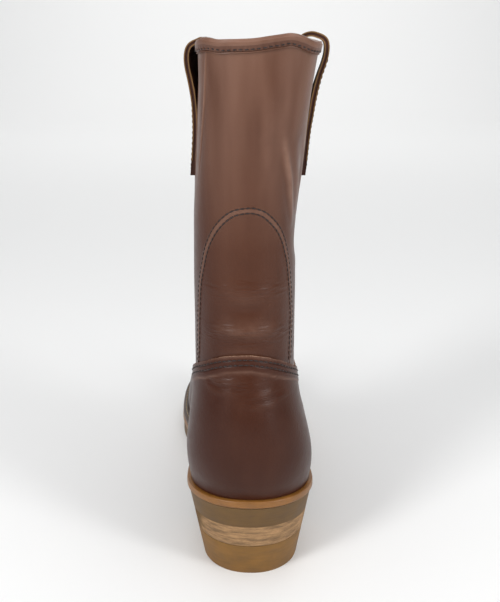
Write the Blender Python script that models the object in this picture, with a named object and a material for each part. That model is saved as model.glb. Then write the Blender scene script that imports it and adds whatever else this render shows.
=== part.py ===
"""Western work boot for the right foot: a hollow pull-on upper on a welted sole with a tall tapered heel.

Units are metres. +Y points to the toe, +X to the outer (lateral) side of the foot and +Z up. The origin is
the middle of the boot's bounding box, on the floor.

The outer surface of the last-shaped upper is one function. It takes a section, from the sole up to the
collar, and a place round that section. The wall, the collar binding, the welt, the insole, the pull straps
and every layer of the sole are worked out from it.
"""

import math
from collections import namedtuple

import bmesh
import bpy
import numpy as np
from mathutils import Matrix

MM = 0.001

# Last: plan sizes of the upper where it meets the sole, and the share of the width it draws in by there
FOOT_LENGTH = 290 * MM
HEEL_WIDTH = 75 * MM
WAIST_WIDTH = 66 * MM
BALL_WIDTH = 93 * MM
TOE_WIDTH = 85 * MM
TOE_SWING = 10 * MM
FEATHER_TUCK = 0.028

# Counter: its width, and how far it reaches behind the feather line
COUNTER_WIDTH = 80 * MM
COUNTER_REACH = 3.5 * MM

# Last: heights. SEAT_PITCH is the slope of the heel seat, and ANKLE_REACH the share of the ankle seam's rise
# over which the foot narrows to the ankle.
INSTEP_HEIGHT = 112 * MM
TOE_SPRING = 12 * MM
SEAM_RISE = 87 * MM
SEAM_DROP = 30 * MM
SEAT_PITCH = 0.06
ANKLE_REACH = 0.85
COLLAR_RISE = 251 * MM

# Shaft: outside sizes at the collar, and how far the slack shaft leans inwards above the ankle
SHAFT_DEPTH = 152 * MM
SHAFT_WIDTH = 63 * MM
SHAFT_LEAN = 3.5 * MM
COLLAR_DIP = 5 * MM

# Leather
SHAFT_WALL = 2.2 * MM
VAMP_STEP = 1.4 * MM
BINDING_HEIGHT = 5.4 * MM
BINDING_WALL = 0.9 * MM
INSOLE_THICKNESS = 3 * MM

# Sole and heel. HEEL_TAPER and HEEL_RAKE are how far the heel draws in on each side and at the back from its
# top to the floor, and HEEL_FADE the length in front of the breast over which the sole does so too.
WELT_THICKNESS = 3.2 * MM
MIDSOLE_THICKNESS = 4.6 * MM
OUTSOLE_THICKNESS = 14 * MM
FOREPART_THICKNESS = 11 * MM
HEEL_BASE_HEIGHT = 15 * MM
HEEL_CAP_HEIGHT = 21.6 * MM
HEEL_LENGTH = 74 * MM
HEEL_INSET = 0.6 * MM
HEEL_TAPER = 8.5 * MM
HEEL_RAKE = 12 * MM
HEEL_FADE = 14 * MM
BREAST_RAKE = 4 * MM
HEEL_EDGE = 2.4 * MM
BALL_EDGE = 5 * MM
LIP_ROUND = 1.2 * MM

# Pull straps: two plies of leather, sewn outside and inside the collar
STRAP_WIDTH = 27 * MM
STRAP_THICKNESS = 2.8 * MM
STRAP_DROP = 70 * MM
STRAP_TUCK = 46 * MM
STRAP_ARCH = 6.5 * MM
STRAP_BULGE = 8.5 * MM
STRAP_SETBACK = 62 * MM

# Fits
GAP = 0.3 * MM

# Mesh density
COLUMNS = 56
DENSE = 160
END_DENSITY = 0.4
SHAFT_STEPS = 16
STRAP_SPANS = 4
STRAP_STEPS = 3

# Heights that follow from the sizes above
HEEL_STACK = HEEL_CAP_HEIGHT + HEEL_BASE_HEIGHT
SEAT_HEIGHT = HEEL_STACK + OUTSOLE_THICKNESS + MIDSOLE_THICKNESS
BALL_HEIGHT = FOREPART_THICKNESS + MIDSOLE_THICKNESS
HEEL_TOP = HEEL_STACK + OUTSOLE_THICKNESS
SEAM_HEIGHT = SEAT_HEIGHT + SEAM_RISE
COLLAR_HEIGHT = SEAT_HEIGHT + COLLAR_RISE

# Plan of the last from heel to toe. along is a share of the foot's length, swing a share of the toe swing
# towards the outer side, and the other columns say how much of each named width the half-width takes there.
PlanStation = namedtuple("PlanStation", "along swing heel waist ball toe")
PLAN = (
    PlanStation(0.00, 0.00, 0.50, 0.00, 0.00, 0.00),
    PlanStation(0.12, -0.05, 0.50, 0.00, 0.00, 0.00),
    PlanStation(0.25, -0.18, 0.25, 0.25, 0.00, 0.00),
    PlanStation(0.40, -0.26, 0.00, 0.50, 0.00, 0.00),
    PlanStation(0.52, -0.28, 0.00, 0.34, 0.14, 0.00),
    PlanStation(0.64, -0.44, 0.00, 0.07, 0.39, 0.00),
    PlanStation(0.72, -0.66, 0.00, 0.00, 0.48, 0.00),
    PlanStation(0.82, -0.94, 0.00, 0.00, 0.35, 0.12),
    PlanStation(0.92, -1.24, 0.00, 0.00, 0.00, 0.46),
    PlanStation(1.00, -1.45, 0.00, 0.00, 0.00, 0.45),
)

# Ridge of the foot from the toe up to the throat, where the shaft starts. along is a share of the foot's
# length, rise a share of the instep height above the sole, and round the radius across the ridge as a share
# of the ball width.
RidgePoint = namedtuple("RidgePoint", "name along rise round")
RIDGE = (
    RidgePoint("toe tip", 1.000, 0.000, 0.48),
    RidgePoint("toe front", 0.994, 0.120, 0.48),
    RidgePoint("toe crown", 0.967, 0.265, 0.48),
    RidgePoint("toe box", 0.922, 0.372, 0.49),
    RidgePoint("toe flex", 0.850, 0.450, 0.57),
    RidgePoint("ball", 0.765, 0.515, 0.68),
    RidgePoint("vamp point", 0.700, 0.600, 0.79),
    RidgePoint("vamp", 0.645, 0.700, 0.89),
    RidgePoint("low instep", 0.585, 0.840, 0.98),
    RidgePoint("instep", 0.525, 1.000, 1.00),
    RidgePoint("bend", 0.480, 1.120, 0.90),
    RidgePoint("throat", 0.448, 1.260, 0.66),
)

# Back of the counter from the seat up to the ankle seam. up is a share of that rise, and reach how far the
# leather stands behind the back of the feather line, as a share of the counter's reach.
CounterPoint = namedtuple("CounterPoint", "up reach")
COUNTER = (
    CounterPoint(0.00, -0.60),
    CounterPoint(0.12, 0.30),
    CounterPoint(0.30, 1.00),
    CounterPoint(0.50, 0.75),
    CounterPoint(0.75, -0.50),
    CounterPoint(1.00, -1.50),
)

# Shaft sections. up is the share of the way from the ankle seam to the collar, back the set-forward of the
# back line, depth and width the outside sizes, all as shares of the collar's, lean a share of the shaft's
# lean towards the inner side, and corner how square the back corners are.
ShaftSection = namedtuple("ShaftSection", "name up back depth width lean corner")
SHAFT = (
    ShaftSection("ankle seam", 0.00, 0.034, 0.800, 0.925, 1.00, 2.1),
    ShaftSection("throat", 0.19, 0.043, 0.803, 0.930, 1.00, 2.2),
    ShaftSection("hollow", 0.42, 0.034, 0.822, 0.912, 1.00, 2.3),
    ShaftSection("low calf", 0.63, 0.008, 0.880, 0.930, 0.20, 2.5),
    ShaftSection("calf", 0.85, -0.020, 0.960, 0.948, -0.60, 2.8),
    ShaftSection("collar", 1.00, -0.036, 1.000, 1.000, -1.10, 3.0),
    ShaftSection("over", 1.15, -0.052, 1.040, 1.052, -1.60, 3.1),
)

# Ankle seam: the top edge of vamp and counter. along is the share of the way from the back to the throat,
# drop the fall below the back as a share of the seam's drop, and climb the rise from there to the throat.
SeamPoint = namedtuple("SeamPoint", "along drop climb")
SEAM = (
    SeamPoint(0.00, 0.00, 0.00),
    SeamPoint(0.12, 0.26, 0.00),
    SeamPoint(0.30, 0.68, 0.00),
    SeamPoint(0.48, 0.96, 0.00),
    SeamPoint(0.60, 1.00, 0.00),
    SeamPoint(0.74, 1.00, 0.12),
    SeamPoint(0.88, 1.00, 0.50),
    SeamPoint(1.00, 1.00, 1.00),
)

# Collar line. along is the share of the way from the back to the front, outer and inner the dip below the
# collar's height on each side, as shares of the collar's dip.
CollarPoint = namedtuple("CollarPoint", "along outer inner")
COLLAR = (
    CollarPoint(0.00, 0.50, 0.50),
    CollarPoint(0.05, 0.05, 0.20),
    CollarPoint(0.14, -0.35, 0.00),
    CollarPoint(0.45, 0.20, 0.15),
    CollarPoint(0.75, 0.55, 0.50),
    CollarPoint(1.00, 1.15, 1.15),
)


def smooth_table(xs, ys):
    """A function through the points (xs, ys) that never overshoots them, flat outside their range."""
    xs, ys = np.array(xs, float), np.array(ys, float)
    steps = np.diff(xs)
    slopes = np.diff(ys) / steps
    tangents = np.zeros(len(xs))
    for i in range(1, len(xs) - 1):
        if slopes[i - 1] * slopes[i] > 0:
            before, after = 2 * steps[i] + steps[i - 1], steps[i] + 2 * steps[i - 1]
            tangents[i] = (before + after) / (before / slopes[i - 1] + after / slopes[i])

    def value(x):
        x = np.clip(x, xs[0], xs[-1])
        i = np.clip(np.searchsorted(xs, x) - 1, 0, len(xs) - 2)
        h = steps[i]
        u = (x - xs[i]) / h
        return (
            ys[i] * (1 + 2 * u) * (1 - u) ** 2
            + h * tangents[i] * u * (1 - u) ** 2
            + ys[i + 1] * u**2 * (3 - 2 * u)
            + h * tangents[i + 1] * u**2 * (u - 1)
        )

    return value


def columns_of(table, *names):
    return [[getattr(row, name) for row in table] for name in names]


def ease(u):
    """Smooth step from 0 to 1."""
    u = np.clip(u, 0, 1)
    return u * u * (3 - 2 * u)


# Sole line: the top of the midsole, from the heel seat down the shank to the ball and up to the toe
SHANK_START = 0.9 * HEEL_LENGTH
SHANK_END = 0.57 * FOOT_LENGTH
SPRING_START = 0.78 * FOOT_LENGTH


def shank_share(y):
    return ease((y - SHANK_START) / (SHANK_END - SHANK_START))


def sole_line(y):
    """Height of the midsole's top at y."""
    seat = SEAT_HEIGHT - SEAT_PITCH * np.clip(y, 0, HEEL_LENGTH)
    spring = np.clip((y - SPRING_START) / (FOOT_LENGTH - SPRING_START), 0, 1.1) ** 2
    return seat + (BALL_HEIGHT + TOE_SPRING * spring - seat) * shank_share(y)


def tread_line(y):
    """Height of the outsole's underside at y, where nothing is under it."""
    thickness = OUTSOLE_THICKNESS + (FOREPART_THICKNESS - OUTSOLE_THICKNESS) * shank_share(y)
    return sole_line(y) - MIDSOLE_THICKNESS - thickness


def bottom_edge(y):
    """Height of the upper's lower edge at y."""
    return sole_line(y) + GAP


def make_plan():
    """Two functions of y: the middle of the last in x, and its half-width."""
    along, swing, heel, waist, ball, toe = columns_of(PLAN, *PlanStation._fields)
    halves = [
        HEEL_WIDTH * a + WAIST_WIDTH * b + BALL_WIDTH * c + TOE_WIDTH * d
        for a, b, c, d in zip(heel, waist, ball, toe)
    ]
    stations = [a * FOOT_LENGTH for a in along]
    return smooth_table(stations, [s * TOE_SWING for s in swing]), smooth_table(stations, halves)


plan_middle, plan_half = make_plan()

back_reach = smooth_table(*columns_of(COUNTER, "up", "reach"))
shaft_back = smooth_table(*columns_of(SHAFT, "up", "back"))
shaft_depth = smooth_table(*columns_of(SHAFT, "up", "depth"))
shaft_width = smooth_table(*columns_of(SHAFT, "up", "width"))
shaft_lean = smooth_table(*columns_of(SHAFT, "up", "lean"))
shaft_corner = smooth_table(*columns_of(SHAFT, "up", "corner"))

THROAT_Y = RIDGE[-1].along * FOOT_LENGTH
THROAT_HEIGHT = float(bottom_edge(THROAT_Y)) + RIDGE[-1].rise * INSTEP_HEIGHT


def shaft_share(z):
    return (z - SEAM_HEIGHT) / (COLLAR_HEIGHT - SEAM_HEIGHT)


def back_line(z):
    """y of the boot's back at height z."""
    up = (z - SEAT_HEIGHT) / SEAM_RISE
    counter = -COUNTER_REACH * back_reach(up)
    shaft = SHAFT_DEPTH * shaft_back(shaft_share(z))
    return counter + (shaft - counter) * ease((up - 0.75) / 0.5)


def front_line(z):
    """y of the shaft's front at height z, from the throat up."""
    up = shaft_share(z)
    start = shaft_share(THROAT_HEIGHT)
    depth = shaft_back(up) + shaft_depth(up) - shaft_back(start) - shaft_depth(start)
    return THROAT_Y + SHAFT_DEPTH * depth


def catmull(points, per_span):
    """A smooth curve through the points, as an array."""
    p = np.array(points, float)
    p = np.vstack([2 * p[0] - p[1], p, 2 * p[-1] - p[-2]])
    u = np.linspace(0, 1, per_span, endpoint=False)[:, None]
    spans = [
        0.5
        * (
            2 * b
            + (c - a) * u
            + (2 * a - 5 * b + 4 * c - d) * u**2
            + (3 * b - a - 3 * c + d) * u**3
        )
        for a, b, c, d in zip(p, p[1:], p[2:], p[3:])
    ]
    return np.vstack(spans + [p[-2:-1]])


def make_ridge():
    """The ridge from the toe tip to the throat as rows of y, z and rounding radius."""
    rows = []
    for point in RIDGE:
        y = point.along * FOOT_LENGTH
        z = float(bottom_edge(y)) + point.rise * INSTEP_HEIGHT
        rows.append((y, z, point.round * BALL_WIDTH))
    return catmull(rows, 14)


RIDGE_LINE = make_ridge()
ABOVE_COLLAR = COLLAR_HEIGHT + 30 * MM


def make_outline_lines():
    """The side view's front and back lines as rows of y, z and the rounding radius across them."""
    heights = np.linspace(THROAT_HEIGHT, ABOVE_COLLAR, 60)[1:]
    radius = RIDGE_LINE[-1, 2] * (1 + 0.4 * ease((heights - THROAT_HEIGHT) / COLLAR_RISE))
    front = np.vstack([RIDGE_LINE, np.stack([front_line(heights), heights, radius], 1)])
    heights = np.linspace(SEAT_HEIGHT, ABOVE_COLLAR, 90)
    radius = 0.47 * HEEL_WIDTH + 0 * heights
    return front, np.stack([back_line(heights), heights, radius], 1)


FRONT_LINE, BACK_LINE = make_outline_lines()


def roundness(y, z, line, power):
    """0 on the line, rising to 1 where the section is as wide as it gets, as a quarter of a superellipse."""
    start, step = line[:-1], np.diff(line, axis=0)
    away_y, away_z = y[:, None] - start[:, 0], z[:, None] - start[:, 1]
    share = (away_y * step[:, 0] + away_z * step[:, 1]) / (step[:, 0] ** 2 + step[:, 1] ** 2)
    share = np.clip(share, 0, 1)
    gaps = np.hypot(away_y - share * step[:, 0], away_z - share * step[:, 1])
    rows = np.arange(len(y))
    nearest = gaps.argmin(1)
    radius = start[nearest, 2] + share[rows, nearest] * step[nearest, 2]
    inward = 1 - np.clip(gaps[rows, nearest] / radius, 0, 1)
    return (1 - inward**power) ** (1 / power)


def ankle_share(y, z):
    """0 low down in the foot, rising to 1 in the shaft. Over the ball it starts higher up than elsewhere."""
    forward = ease((y / FOOT_LENGTH - 0.42) / 0.3)
    base = bottom_edge(y) + (SEAT_HEIGHT - bottom_edge(y)) * forward
    return ease((z - base) / (ANKLE_REACH * SEAM_RISE))


def half_width(y, z):
    """Half the width at y and z of the shaft leather's outer face, which runs on under vamp and counter."""
    up = shaft_share(z)
    above = np.clip((z - bottom_edge(y)) / SEAM_RISE, 0, 1)
    tuck = 1 - FEATHER_TUCK * (1 - ease(above / 0.12))
    heelward = 1 - 0.75 * ease((y / FOOT_LENGTH - 0.2) / 0.45)
    swell = 1 + (COUNTER_WIDTH / HEEL_WIDTH - 1) * heelward * ease(above / 0.33)
    foot = plan_half(y) * tuck * swell - VAMP_STEP
    shaft = 0.5 * SHAFT_WIDTH * shaft_width(up)
    side = foot + (shaft - foot) * ankle_share(y, z)
    front = roundness(y, z, FRONT_LINE, 2.1)
    back = roundness(y, z, BACK_LINE, shaft_corner(up))
    return side * front * back


def middle(y, z):
    """x of the boot's middle at y and z."""
    lean = -SHAFT_LEAN * shaft_lean(shaft_share(z))
    return plan_middle(y) + (lean - plan_middle(y)) * ankle_share(y, z)


seam_drop = smooth_table(*columns_of(SEAM, "along", "drop"))
seam_climb = smooth_table(*columns_of(SEAM, "along", "climb"))
collar_dip = {
    1: smooth_table(*columns_of(COLLAR, "along", "outer")),
    -1: smooth_table(*columns_of(COLLAR, "along", "inner")),
}


def seam_line(along):
    """Height of the ankle seam, along being 0 at the back and 1 at the throat."""
    low = SEAM_HEIGHT - SEAM_DROP
    return SEAM_HEIGHT - SEAM_DROP * seam_drop(along) + (THROAT_HEIGHT - low) * seam_climb(along)


def collar_line(along, side):
    return COLLAR_HEIGHT - COLLAR_DIP * collar_dip[side](along)


def foot_path(up, along):
    """Side view of a section of the foot: up is 0 at the sole and 1 at the ankle seam."""
    lengths = np.append(0, np.cumsum(np.hypot(*np.diff(RIDGE_LINE[:, :2], axis=0).T)))
    front = float(np.interp(up * lengths[-1], lengths, RIDGE_LINE[:, 0]))
    front_rise = float(np.interp(up * lengths[-1], lengths, RIDGE_LINE[:, 1])) - bottom_edge(front)
    seat = float(bottom_edge(0.0))
    back = float(back_line(seat + up * (SEAM_HEIGHT - seat)))
    seam_back = float(back_line(SEAM_HEIGHT))
    seam_rise = seam_line(along) - bottom_edge(seam_back + (THROAT_Y - seam_back) * along)
    y = back + (front - back) * along
    return y, bottom_edge(y) + up * seam_rise + (front_rise - up * seam_rise[-1]) * along**3


def shaft_path(up, along, side):
    """Side view of a section of the shaft: up is 0 at the ankle seam and 1 at the collar."""
    z = seam_line(along) * (1 - up) + collar_line(along, side) * up
    back = float(back_line(SEAM_HEIGHT * (1 - up) + collar_line(0.0, side) * up))
    front = float(front_line(THROAT_HEIGHT * (1 - up) + collar_line(1.0, side) * up))
    return back + (front - back) * along, z


def spread(points, count):
    """The same curve in count steps, which are shorter near its two ends, where it turns most."""
    place = np.append(0, np.cumsum(np.linalg.norm(np.diff(points, axis=0), axis=1)))
    share = np.linspace(0, 1, count + 1)
    at = place[-1] * (share - END_DENSITY * np.sin(2 * math.pi * share) / (2 * math.pi))
    return np.stack([np.interp(at, place, points[:, k]) for k in range(3)], 1)


def section(level):
    """One section as COLUMNS points from the back, round the outer side, the front and the inner side.

    level runs from 0 at the sole over 1 at the ankle seam to 2 at the collar.
    """
    along = (1 - np.cos(np.linspace(0, math.pi, DENSE))) / 2
    halves = []
    for side in (1, -1):
        y, z = foot_path(level, along) if level <= 1 else shaft_path(level - 1, along, side)
        x = middle(y, z) + side * half_width(y, z)
        halves.append(spread(np.stack([x, y, z], 1), COLUMNS // 2))
    return np.vstack([halves[0][:-1], halves[1][:0:-1]])


def flat_normals(ring):
    """Outward directions in plan at each point of a closed section."""
    along = np.roll(ring, -1, 0) - np.roll(ring, 1, 0)
    out = np.stack([along[:, 1], -along[:, 0], 0 * along[:, 0]], 1)
    out /= np.linalg.norm(out, axis=1)[:, None]
    return out * np.sign((out * (ring - ring.mean(0))).sum())


def surface_normals(rings):
    """Outward directions of the surface through the sections. The first and last stay level."""
    stack = np.array(rings)
    around = np.roll(stack, -1, 1) - np.roll(stack, 1, 1)
    upward = np.gradient(stack, axis=0)
    out = np.cross(around, upward)
    out /= np.linalg.norm(out, axis=2)[:, :, None]
    flat = flat_normals(stack[-1])
    if (out[-1] * flat).sum() < 0:
        out = -out
    out[0], out[-1] = flat_normals(stack[0]), flat
    return out


def offset_in_plan(ring, distance):
    return ring + flat_normals(ring) * np.broadcast_to(distance, len(ring))[:, None]


def with_height(ring, z):
    moved = ring.copy()
    moved[:, 2] = z
    return moved


# Sections of the upper. The ones below 1 are closer at the sole, where the toe rises steeply.
FOOT_LEVELS = (0.0, 0.02, 0.045, 0.075, 0.11, 0.155, 0.21, 0.28, 0.36, 0.45, 0.55, 0.66, 0.77, 0.885, 1.0)
SHAFT_LEVELS = tuple(1 + step / SHAFT_STEPS for step in range(SHAFT_STEPS + 1))

# Outer half of the collar binding's section: shares of its wall outwards and of its height upwards
BINDING_PROFILE = ((0, -1.0), (1, -1.0), (1.15, -0.75), (1, -0.2), (0.75, 0.16), (0.25, 0.25))


def faces_between(ring_count, size, closed):
    """Faces that join each ring of size points to the next one, and the last to the first if closed."""
    faces = []
    for i in range(ring_count if closed else ring_count - 1):
        a, b = i * size, (i + 1) % ring_count * size
        for k in range(size):
            faces.append((a + k, a + (k + 1) % size, b + (k + 1) % size, b + k))
    return faces


def strip_cap(size, first, twist):
    """Faces across a ring, from side to side. twist is 0 where point 0 is the only point at its end."""
    faces = []
    for k in range(size // 2):
        face = [k, k + 1, (size - k - 1 - twist) % size, (size - k - twist) % size]
        faces.append([first + point for point in dict.fromkeys(face)])
    return [face for face in faces if len(face) > 2]


def make_material(name, colour, roughness):
    material = bpy.data.materials.new(name)
    material.use_nodes = True
    shader = material.node_tree.nodes["Principled BSDF"]
    shader.inputs["Base Color"].default_value = (*colour, 1)
    shader.inputs["Roughness"].default_value = roughness
    return material


def add_solid(name, rings, faces, material):
    """One closed object from rings of points and the faces between them."""
    mesh = bpy.data.meshes.new(name)
    mesh.from_pydata(np.vstack(rings).tolist(), [], faces)
    shape = bmesh.new()
    shape.from_mesh(mesh)
    bmesh.ops.recalc_face_normals(shape, faces=shape.faces)
    shape.to_mesh(mesh)
    shape.free()
    mesh.shade_smooth()
    mesh.set_sharp_from_angle(angle=math.radians(40))
    mesh.materials.append(material)
    item = bpy.data.objects.new(name, mesh)
    bpy.context.collection.objects.link(item)
    return item


def add_ring_solid(name, rings, material):
    """A solid whose section, one point from each ring, goes all the way round."""
    return add_solid(name, rings, faces_between(len(rings), len(rings[0]), True), material)


def add_capped_solid(name, rings, material, twist=0):
    """A solid that is closed across its first and its last ring."""
    size = len(rings[0])
    faces = faces_between(len(rings), size, False)
    faces += strip_cap(size, 0, twist) + strip_cap(size, (len(rings) - 1) * size, twist)
    return add_solid(name, rings, faces, material)


def upper_sections():
    """Sections of the shaft leather's outer face and its outward directions, from the sole to the collar."""
    levels = FOOT_LEVELS + SHAFT_LEVELS[1:]
    rings = [section(level) for level in levels]
    return rings, surface_normals(rings)


def add_upper(rings, normals, material):
    """Hollow vamp, counter and shaft. Vamp and counter lie on the shaft and end in a step, the ankle seam."""
    seam = len(FOOT_LEVELS)
    outer = [ring + normal * VAMP_STEP for ring, normal in zip(rings[:seam], normals)]
    outer += rings[seam - 1 :]
    kept = [*range(0, seam - 1, 2), *range(seam - 1, len(rings) - 1, 2), len(rings) - 2, len(rings) - 1]
    inner = [rings[i] - normals[i] * SHAFT_WALL for i in kept]
    inner[0] = with_height(inner[0], rings[0][:, 2])
    inner[-1] = with_height(inner[-1], rings[-1][:, 2])
    return add_ring_solid("upper", outer + inner[::-1], material)


def add_binding(collar, below, material):
    """Leather folded over the collar's edge, clear of the shaft wall by the gap."""
    slope = (collar - below) / (collar - below)[:, 2:]
    half = SHAFT_WALL / 2 + GAP
    profile = [(half + BINDING_WALL * out, BINDING_HEIGHT * up) for out, up in BINDING_PROFILE]
    profile += [(-out, up) for out, up in profile[::-1]]
    profile += [(-half, GAP), (half, GAP)]
    centre = offset_in_plan(collar, -SHAFT_WALL / 2)
    rings = [offset_in_plan(centre + slope * up, out) for out, up in profile]
    return add_ring_solid("collar_binding", rings, material)


def sole_edge(y):
    """How far the sole stands out beyond the upper at y."""
    return HEEL_EDGE + (BALL_EDGE - HEEL_EDGE) * ease((y / FOOT_LENGTH - 0.28) / 0.3)


def sole_ring(feather, inset, height):
    """The sole's outline, moved inwards by inset. Its heights are those of the upper's edge beside it."""
    ring = offset_in_plan(feather, sole_edge(feather[:, 1]) - inset)
    return with_height(ring, height(feather[:, 1]))


def add_welt(feather, material):
    """Strip of leather on the midsole, round the forepart from heel breast to heel breast."""
    high = WELT_THICKNESS + GAP
    inner = 1.2 * GAP + 0.45 * FEATHER_TUCK * plan_half(feather[:, 1])
    near = offset_in_plan(feather, inner)
    rings = [
        with_height(near, bottom_edge(feather[:, 1])),
        sole_ring(feather, GAP, bottom_edge),
        sole_ring(feather, GAP, lambda y: sole_line(y) + 0.6 * high),
        sole_ring(feather, GAP + LIP_ROUND, lambda y: sole_line(y) + high),
        with_height(near, sole_line(feather[:, 1]) + high),
    ]
    sections = np.array(rings).transpose(1, 0, 2)
    kept = [k for k in range(COLUMNS) if feather[k, 1] > SHANK_START]
    return add_capped_solid("welt", [sections[k] for k in kept], material, 1)


def add_midsole(feather, material):
    """Leather layer under the upper over the whole length, with a rounded lip."""
    low = MIDSOLE_THICKNESS
    rings = [
        sole_ring(feather, LIP_ROUND, sole_line),
        sole_ring(feather, 0.3 * LIP_ROUND, lambda y: sole_line(y) - 0.4 * LIP_ROUND),
        sole_ring(feather, 0, lambda y: sole_line(y) - 1.3 * LIP_ROUND),
        sole_ring(feather, 0, lambda y: sole_line(y) - low + 0.5 * LIP_ROUND),
        sole_ring(feather, 0.5 * LIP_ROUND, lambda y: sole_line(y) - low),
    ]
    return add_capped_solid("midsole", rings, material)


def heel_shaped(ring):
    """The ring, with its part behind the heel breast drawn in by the heel's taper and rake at its height."""
    down = np.clip(1 - ring[:, 2] / HEEL_TOP, 0, 1)
    rearward = 1 - ease((ring[:, 1] - HEEL_LENGTH) / HEEL_FADE)
    shaped = ring.copy()
    shaped[:, 0] *= 1 - 2 * HEEL_TAPER / HEEL_WIDTH * down * rearward
    shaped[:, 1] += HEEL_RAKE * down * np.clip(1 - ring[:, 1] / HEEL_LENGTH, 0, 1.1)
    return shaped


def add_outsole(feather, material):
    """Rubber layer under the midsole over the whole length. It is flat under the ball of the foot."""
    top = MIDSOLE_THICKNESS + GAP
    forward = ease((feather[:, 1] - HEEL_LENGTH) / HEEL_FADE)
    rings = [
        sole_ring(feather, HEEL_INSET, lambda y: sole_line(y) - top),
        sole_ring(feather, HEEL_INSET, lambda y: tread_line(y) + LIP_ROUND),
        sole_ring(feather, HEEL_INSET + LIP_ROUND * forward, tread_line),
    ]
    return add_capped_solid("outsole", [heel_shaped(ring) for ring in rings], material)


def add_insole(rings, material):
    """Flat layer inside the upper, on the midsole."""
    edge = offset_in_plan(rings[0], -SHAFT_WALL - GAP)
    low = with_height(edge, bottom_edge(rings[0][:, 1]))
    return add_capped_solid("insole", [low, low + (0, 0, INSOLE_THICKNESS)], material)


def heel_ring(feather, height):
    """Outline of the heel, open at the breast, at the height that the function gives for each point."""
    outline = offset_in_plan(feather, HEEL_EDGE - HEEL_INSET)
    curve = outline[outline[:, 1] < 0.97 * HEEL_LENGTH]
    curve = curve[np.argsort(np.arctan2(curve[:, 0], HEEL_LENGTH - curve[:, 1]))]
    ends = [[point[0], HEEL_LENGTH, 0] for point in (curve[0], curve[-1])]
    ring = np.vstack([ends[:1], curve, ends[1:]])
    ring = heel_shaped(with_height(ring, height(ring[:, 1])))
    breast = ring[:, 1] > 0.999 * HEEL_LENGTH
    ring[breast, 1] -= BREAST_RAKE * (1 - ring[breast, 2] / HEEL_TOP)
    return ring


def add_heel(feather, base_material, cap_material):
    """Heel base under the outsole, and the cap that stands on the ground."""
    tread = heel_shaped(sole_ring(feather, HEEL_INSET, tread_line))
    sides = [tread[: COLUMNS // 2 + 1], np.vstack([tread[:1], tread[: COLUMNS // 2 - 1 : -1]])]

    def seat(y):
        return np.min([np.interp(y, side[:, 1], side[:, 2]) for side in sides], 0) - GAP

    def level(height):
        return heel_ring(feather, lambda y: height + 0 * y)

    base = [heel_ring(feather, seat), level(HEEL_CAP_HEIGHT)]
    cap = [level(HEEL_CAP_HEIGHT - GAP), level(0.0)]
    return [
        add_capped_solid("heel_base", base, base_material, 1),
        add_capped_solid("heel_cap", cap, cap_material, 1),
    ]


# Pull strap from its outer end, over the collar, to its inner end. outside says which side of the shaft wall
# it lies on, drop and tuck its depth below the collar as shares of the outer and the inner leg, arch its
# height above the collar and bulge how far it stands off the wall, as shares of the named sizes.
StrapPoint = namedtuple("StrapPoint", "name outside drop tuck arch bulge")
STRAP = (
    StrapPoint("outer end", 1.0, 1.00, 0.00, 0.00, 0.00),
    StrapPoint("outer seam", 1.0, 0.66, 0.00, 0.00, 0.00),
    StrapPoint("swell", 1.0, 0.46, 0.00, 0.00, 0.18),
    StrapPoint("outer side", 1.0, 0.26, 0.00, 0.00, 0.68),
    StrapPoint("widest", 1.0, 0.08, 0.00, 0.00, 1.00),
    StrapPoint("shoulder", 1.0, 0.00, 0.00, 0.45, 0.86),
    StrapPoint("outer crown", 0.7, 0.00, 0.00, 0.92, 0.42),
    StrapPoint("crown", 0.3, 0.00, 0.00, 1.00, 0.10),
    StrapPoint("inner turn", 0.0, 0.00, 0.00, 0.50, -0.24),
    StrapPoint("inner rim", 0.0, 0.00, 0.13, 0.00, -0.22),
    StrapPoint("inner seam", 0.0, 0.00, 0.50, 0.00, 0.00),
    StrapPoint("inner end", 0.0, 0.00, 1.00, 0.00, 0.00),
)


def side_point(side, y, z):
    """A point of the shaft's outer face and the outward direction there, in plan."""
    at = np.array([y - MM, y, y + MM])
    heights = np.full(3, z)
    x = middle(at, heights) + side * half_width(at, heights)
    along = np.array([x[2] - x[0], 2 * MM])
    out = np.array([along[1], -along[0]]) * side
    return np.array([x[1], y, z]), np.append(out / np.linalg.norm(out), 0)


def strap_route():
    """The strap's middle line as rows of distance from the shaft's outer face and height above the collar."""
    rows = []
    for point in STRAP:
        lies_outside = GAP + STRAP_THICKNESS / 2
        lies_inside = -SHAFT_WALL - GAP - STRAP_THICKNESS / 2
        out = lies_inside + (lies_outside - lies_inside) * point.outside + STRAP_BULGE * point.bulge
        rows.append((out, STRAP_ARCH * point.arch - STRAP_DROP * point.drop - STRAP_TUCK * point.tuck))
    return catmull(rows, STRAP_STEPS)


def add_pull_strap(name, side, material):
    """A strap of leather that loops over the collar, sewn flat to the shaft outside and inside."""
    route = strap_route()
    turn = np.gradient(route, axis=0)
    turn /= np.linalg.norm(turn, axis=1)[:, None]
    middle_y = float(back_line(COLLAR_HEIGHT)) + STRAP_SETBACK
    rim = float(collar_line(STRAP_SETBACK / SHAFT_DEPTH, side))
    across = np.linspace(-0.5, 0.5, STRAP_SPANS + 1) * STRAP_WIDTH
    rings = []
    for (out, up), (turn_out, turn_up) in zip(route, turn):
        faces = []
        for half in (-0.5, 0.5):
            leave = out - half * STRAP_THICKNESS * turn_up
            rise = up + half * STRAP_THICKNESS * turn_out
            row = []
            for shift in across:
                point, outward = side_point(side, middle_y + shift, rim + rise)
                row.append(point + outward * leave)
            faces.append(row)
        rings.append(np.array(faces[0] + faces[1][::-1]))
    return add_capped_solid(name, rings, material, 1)


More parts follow.
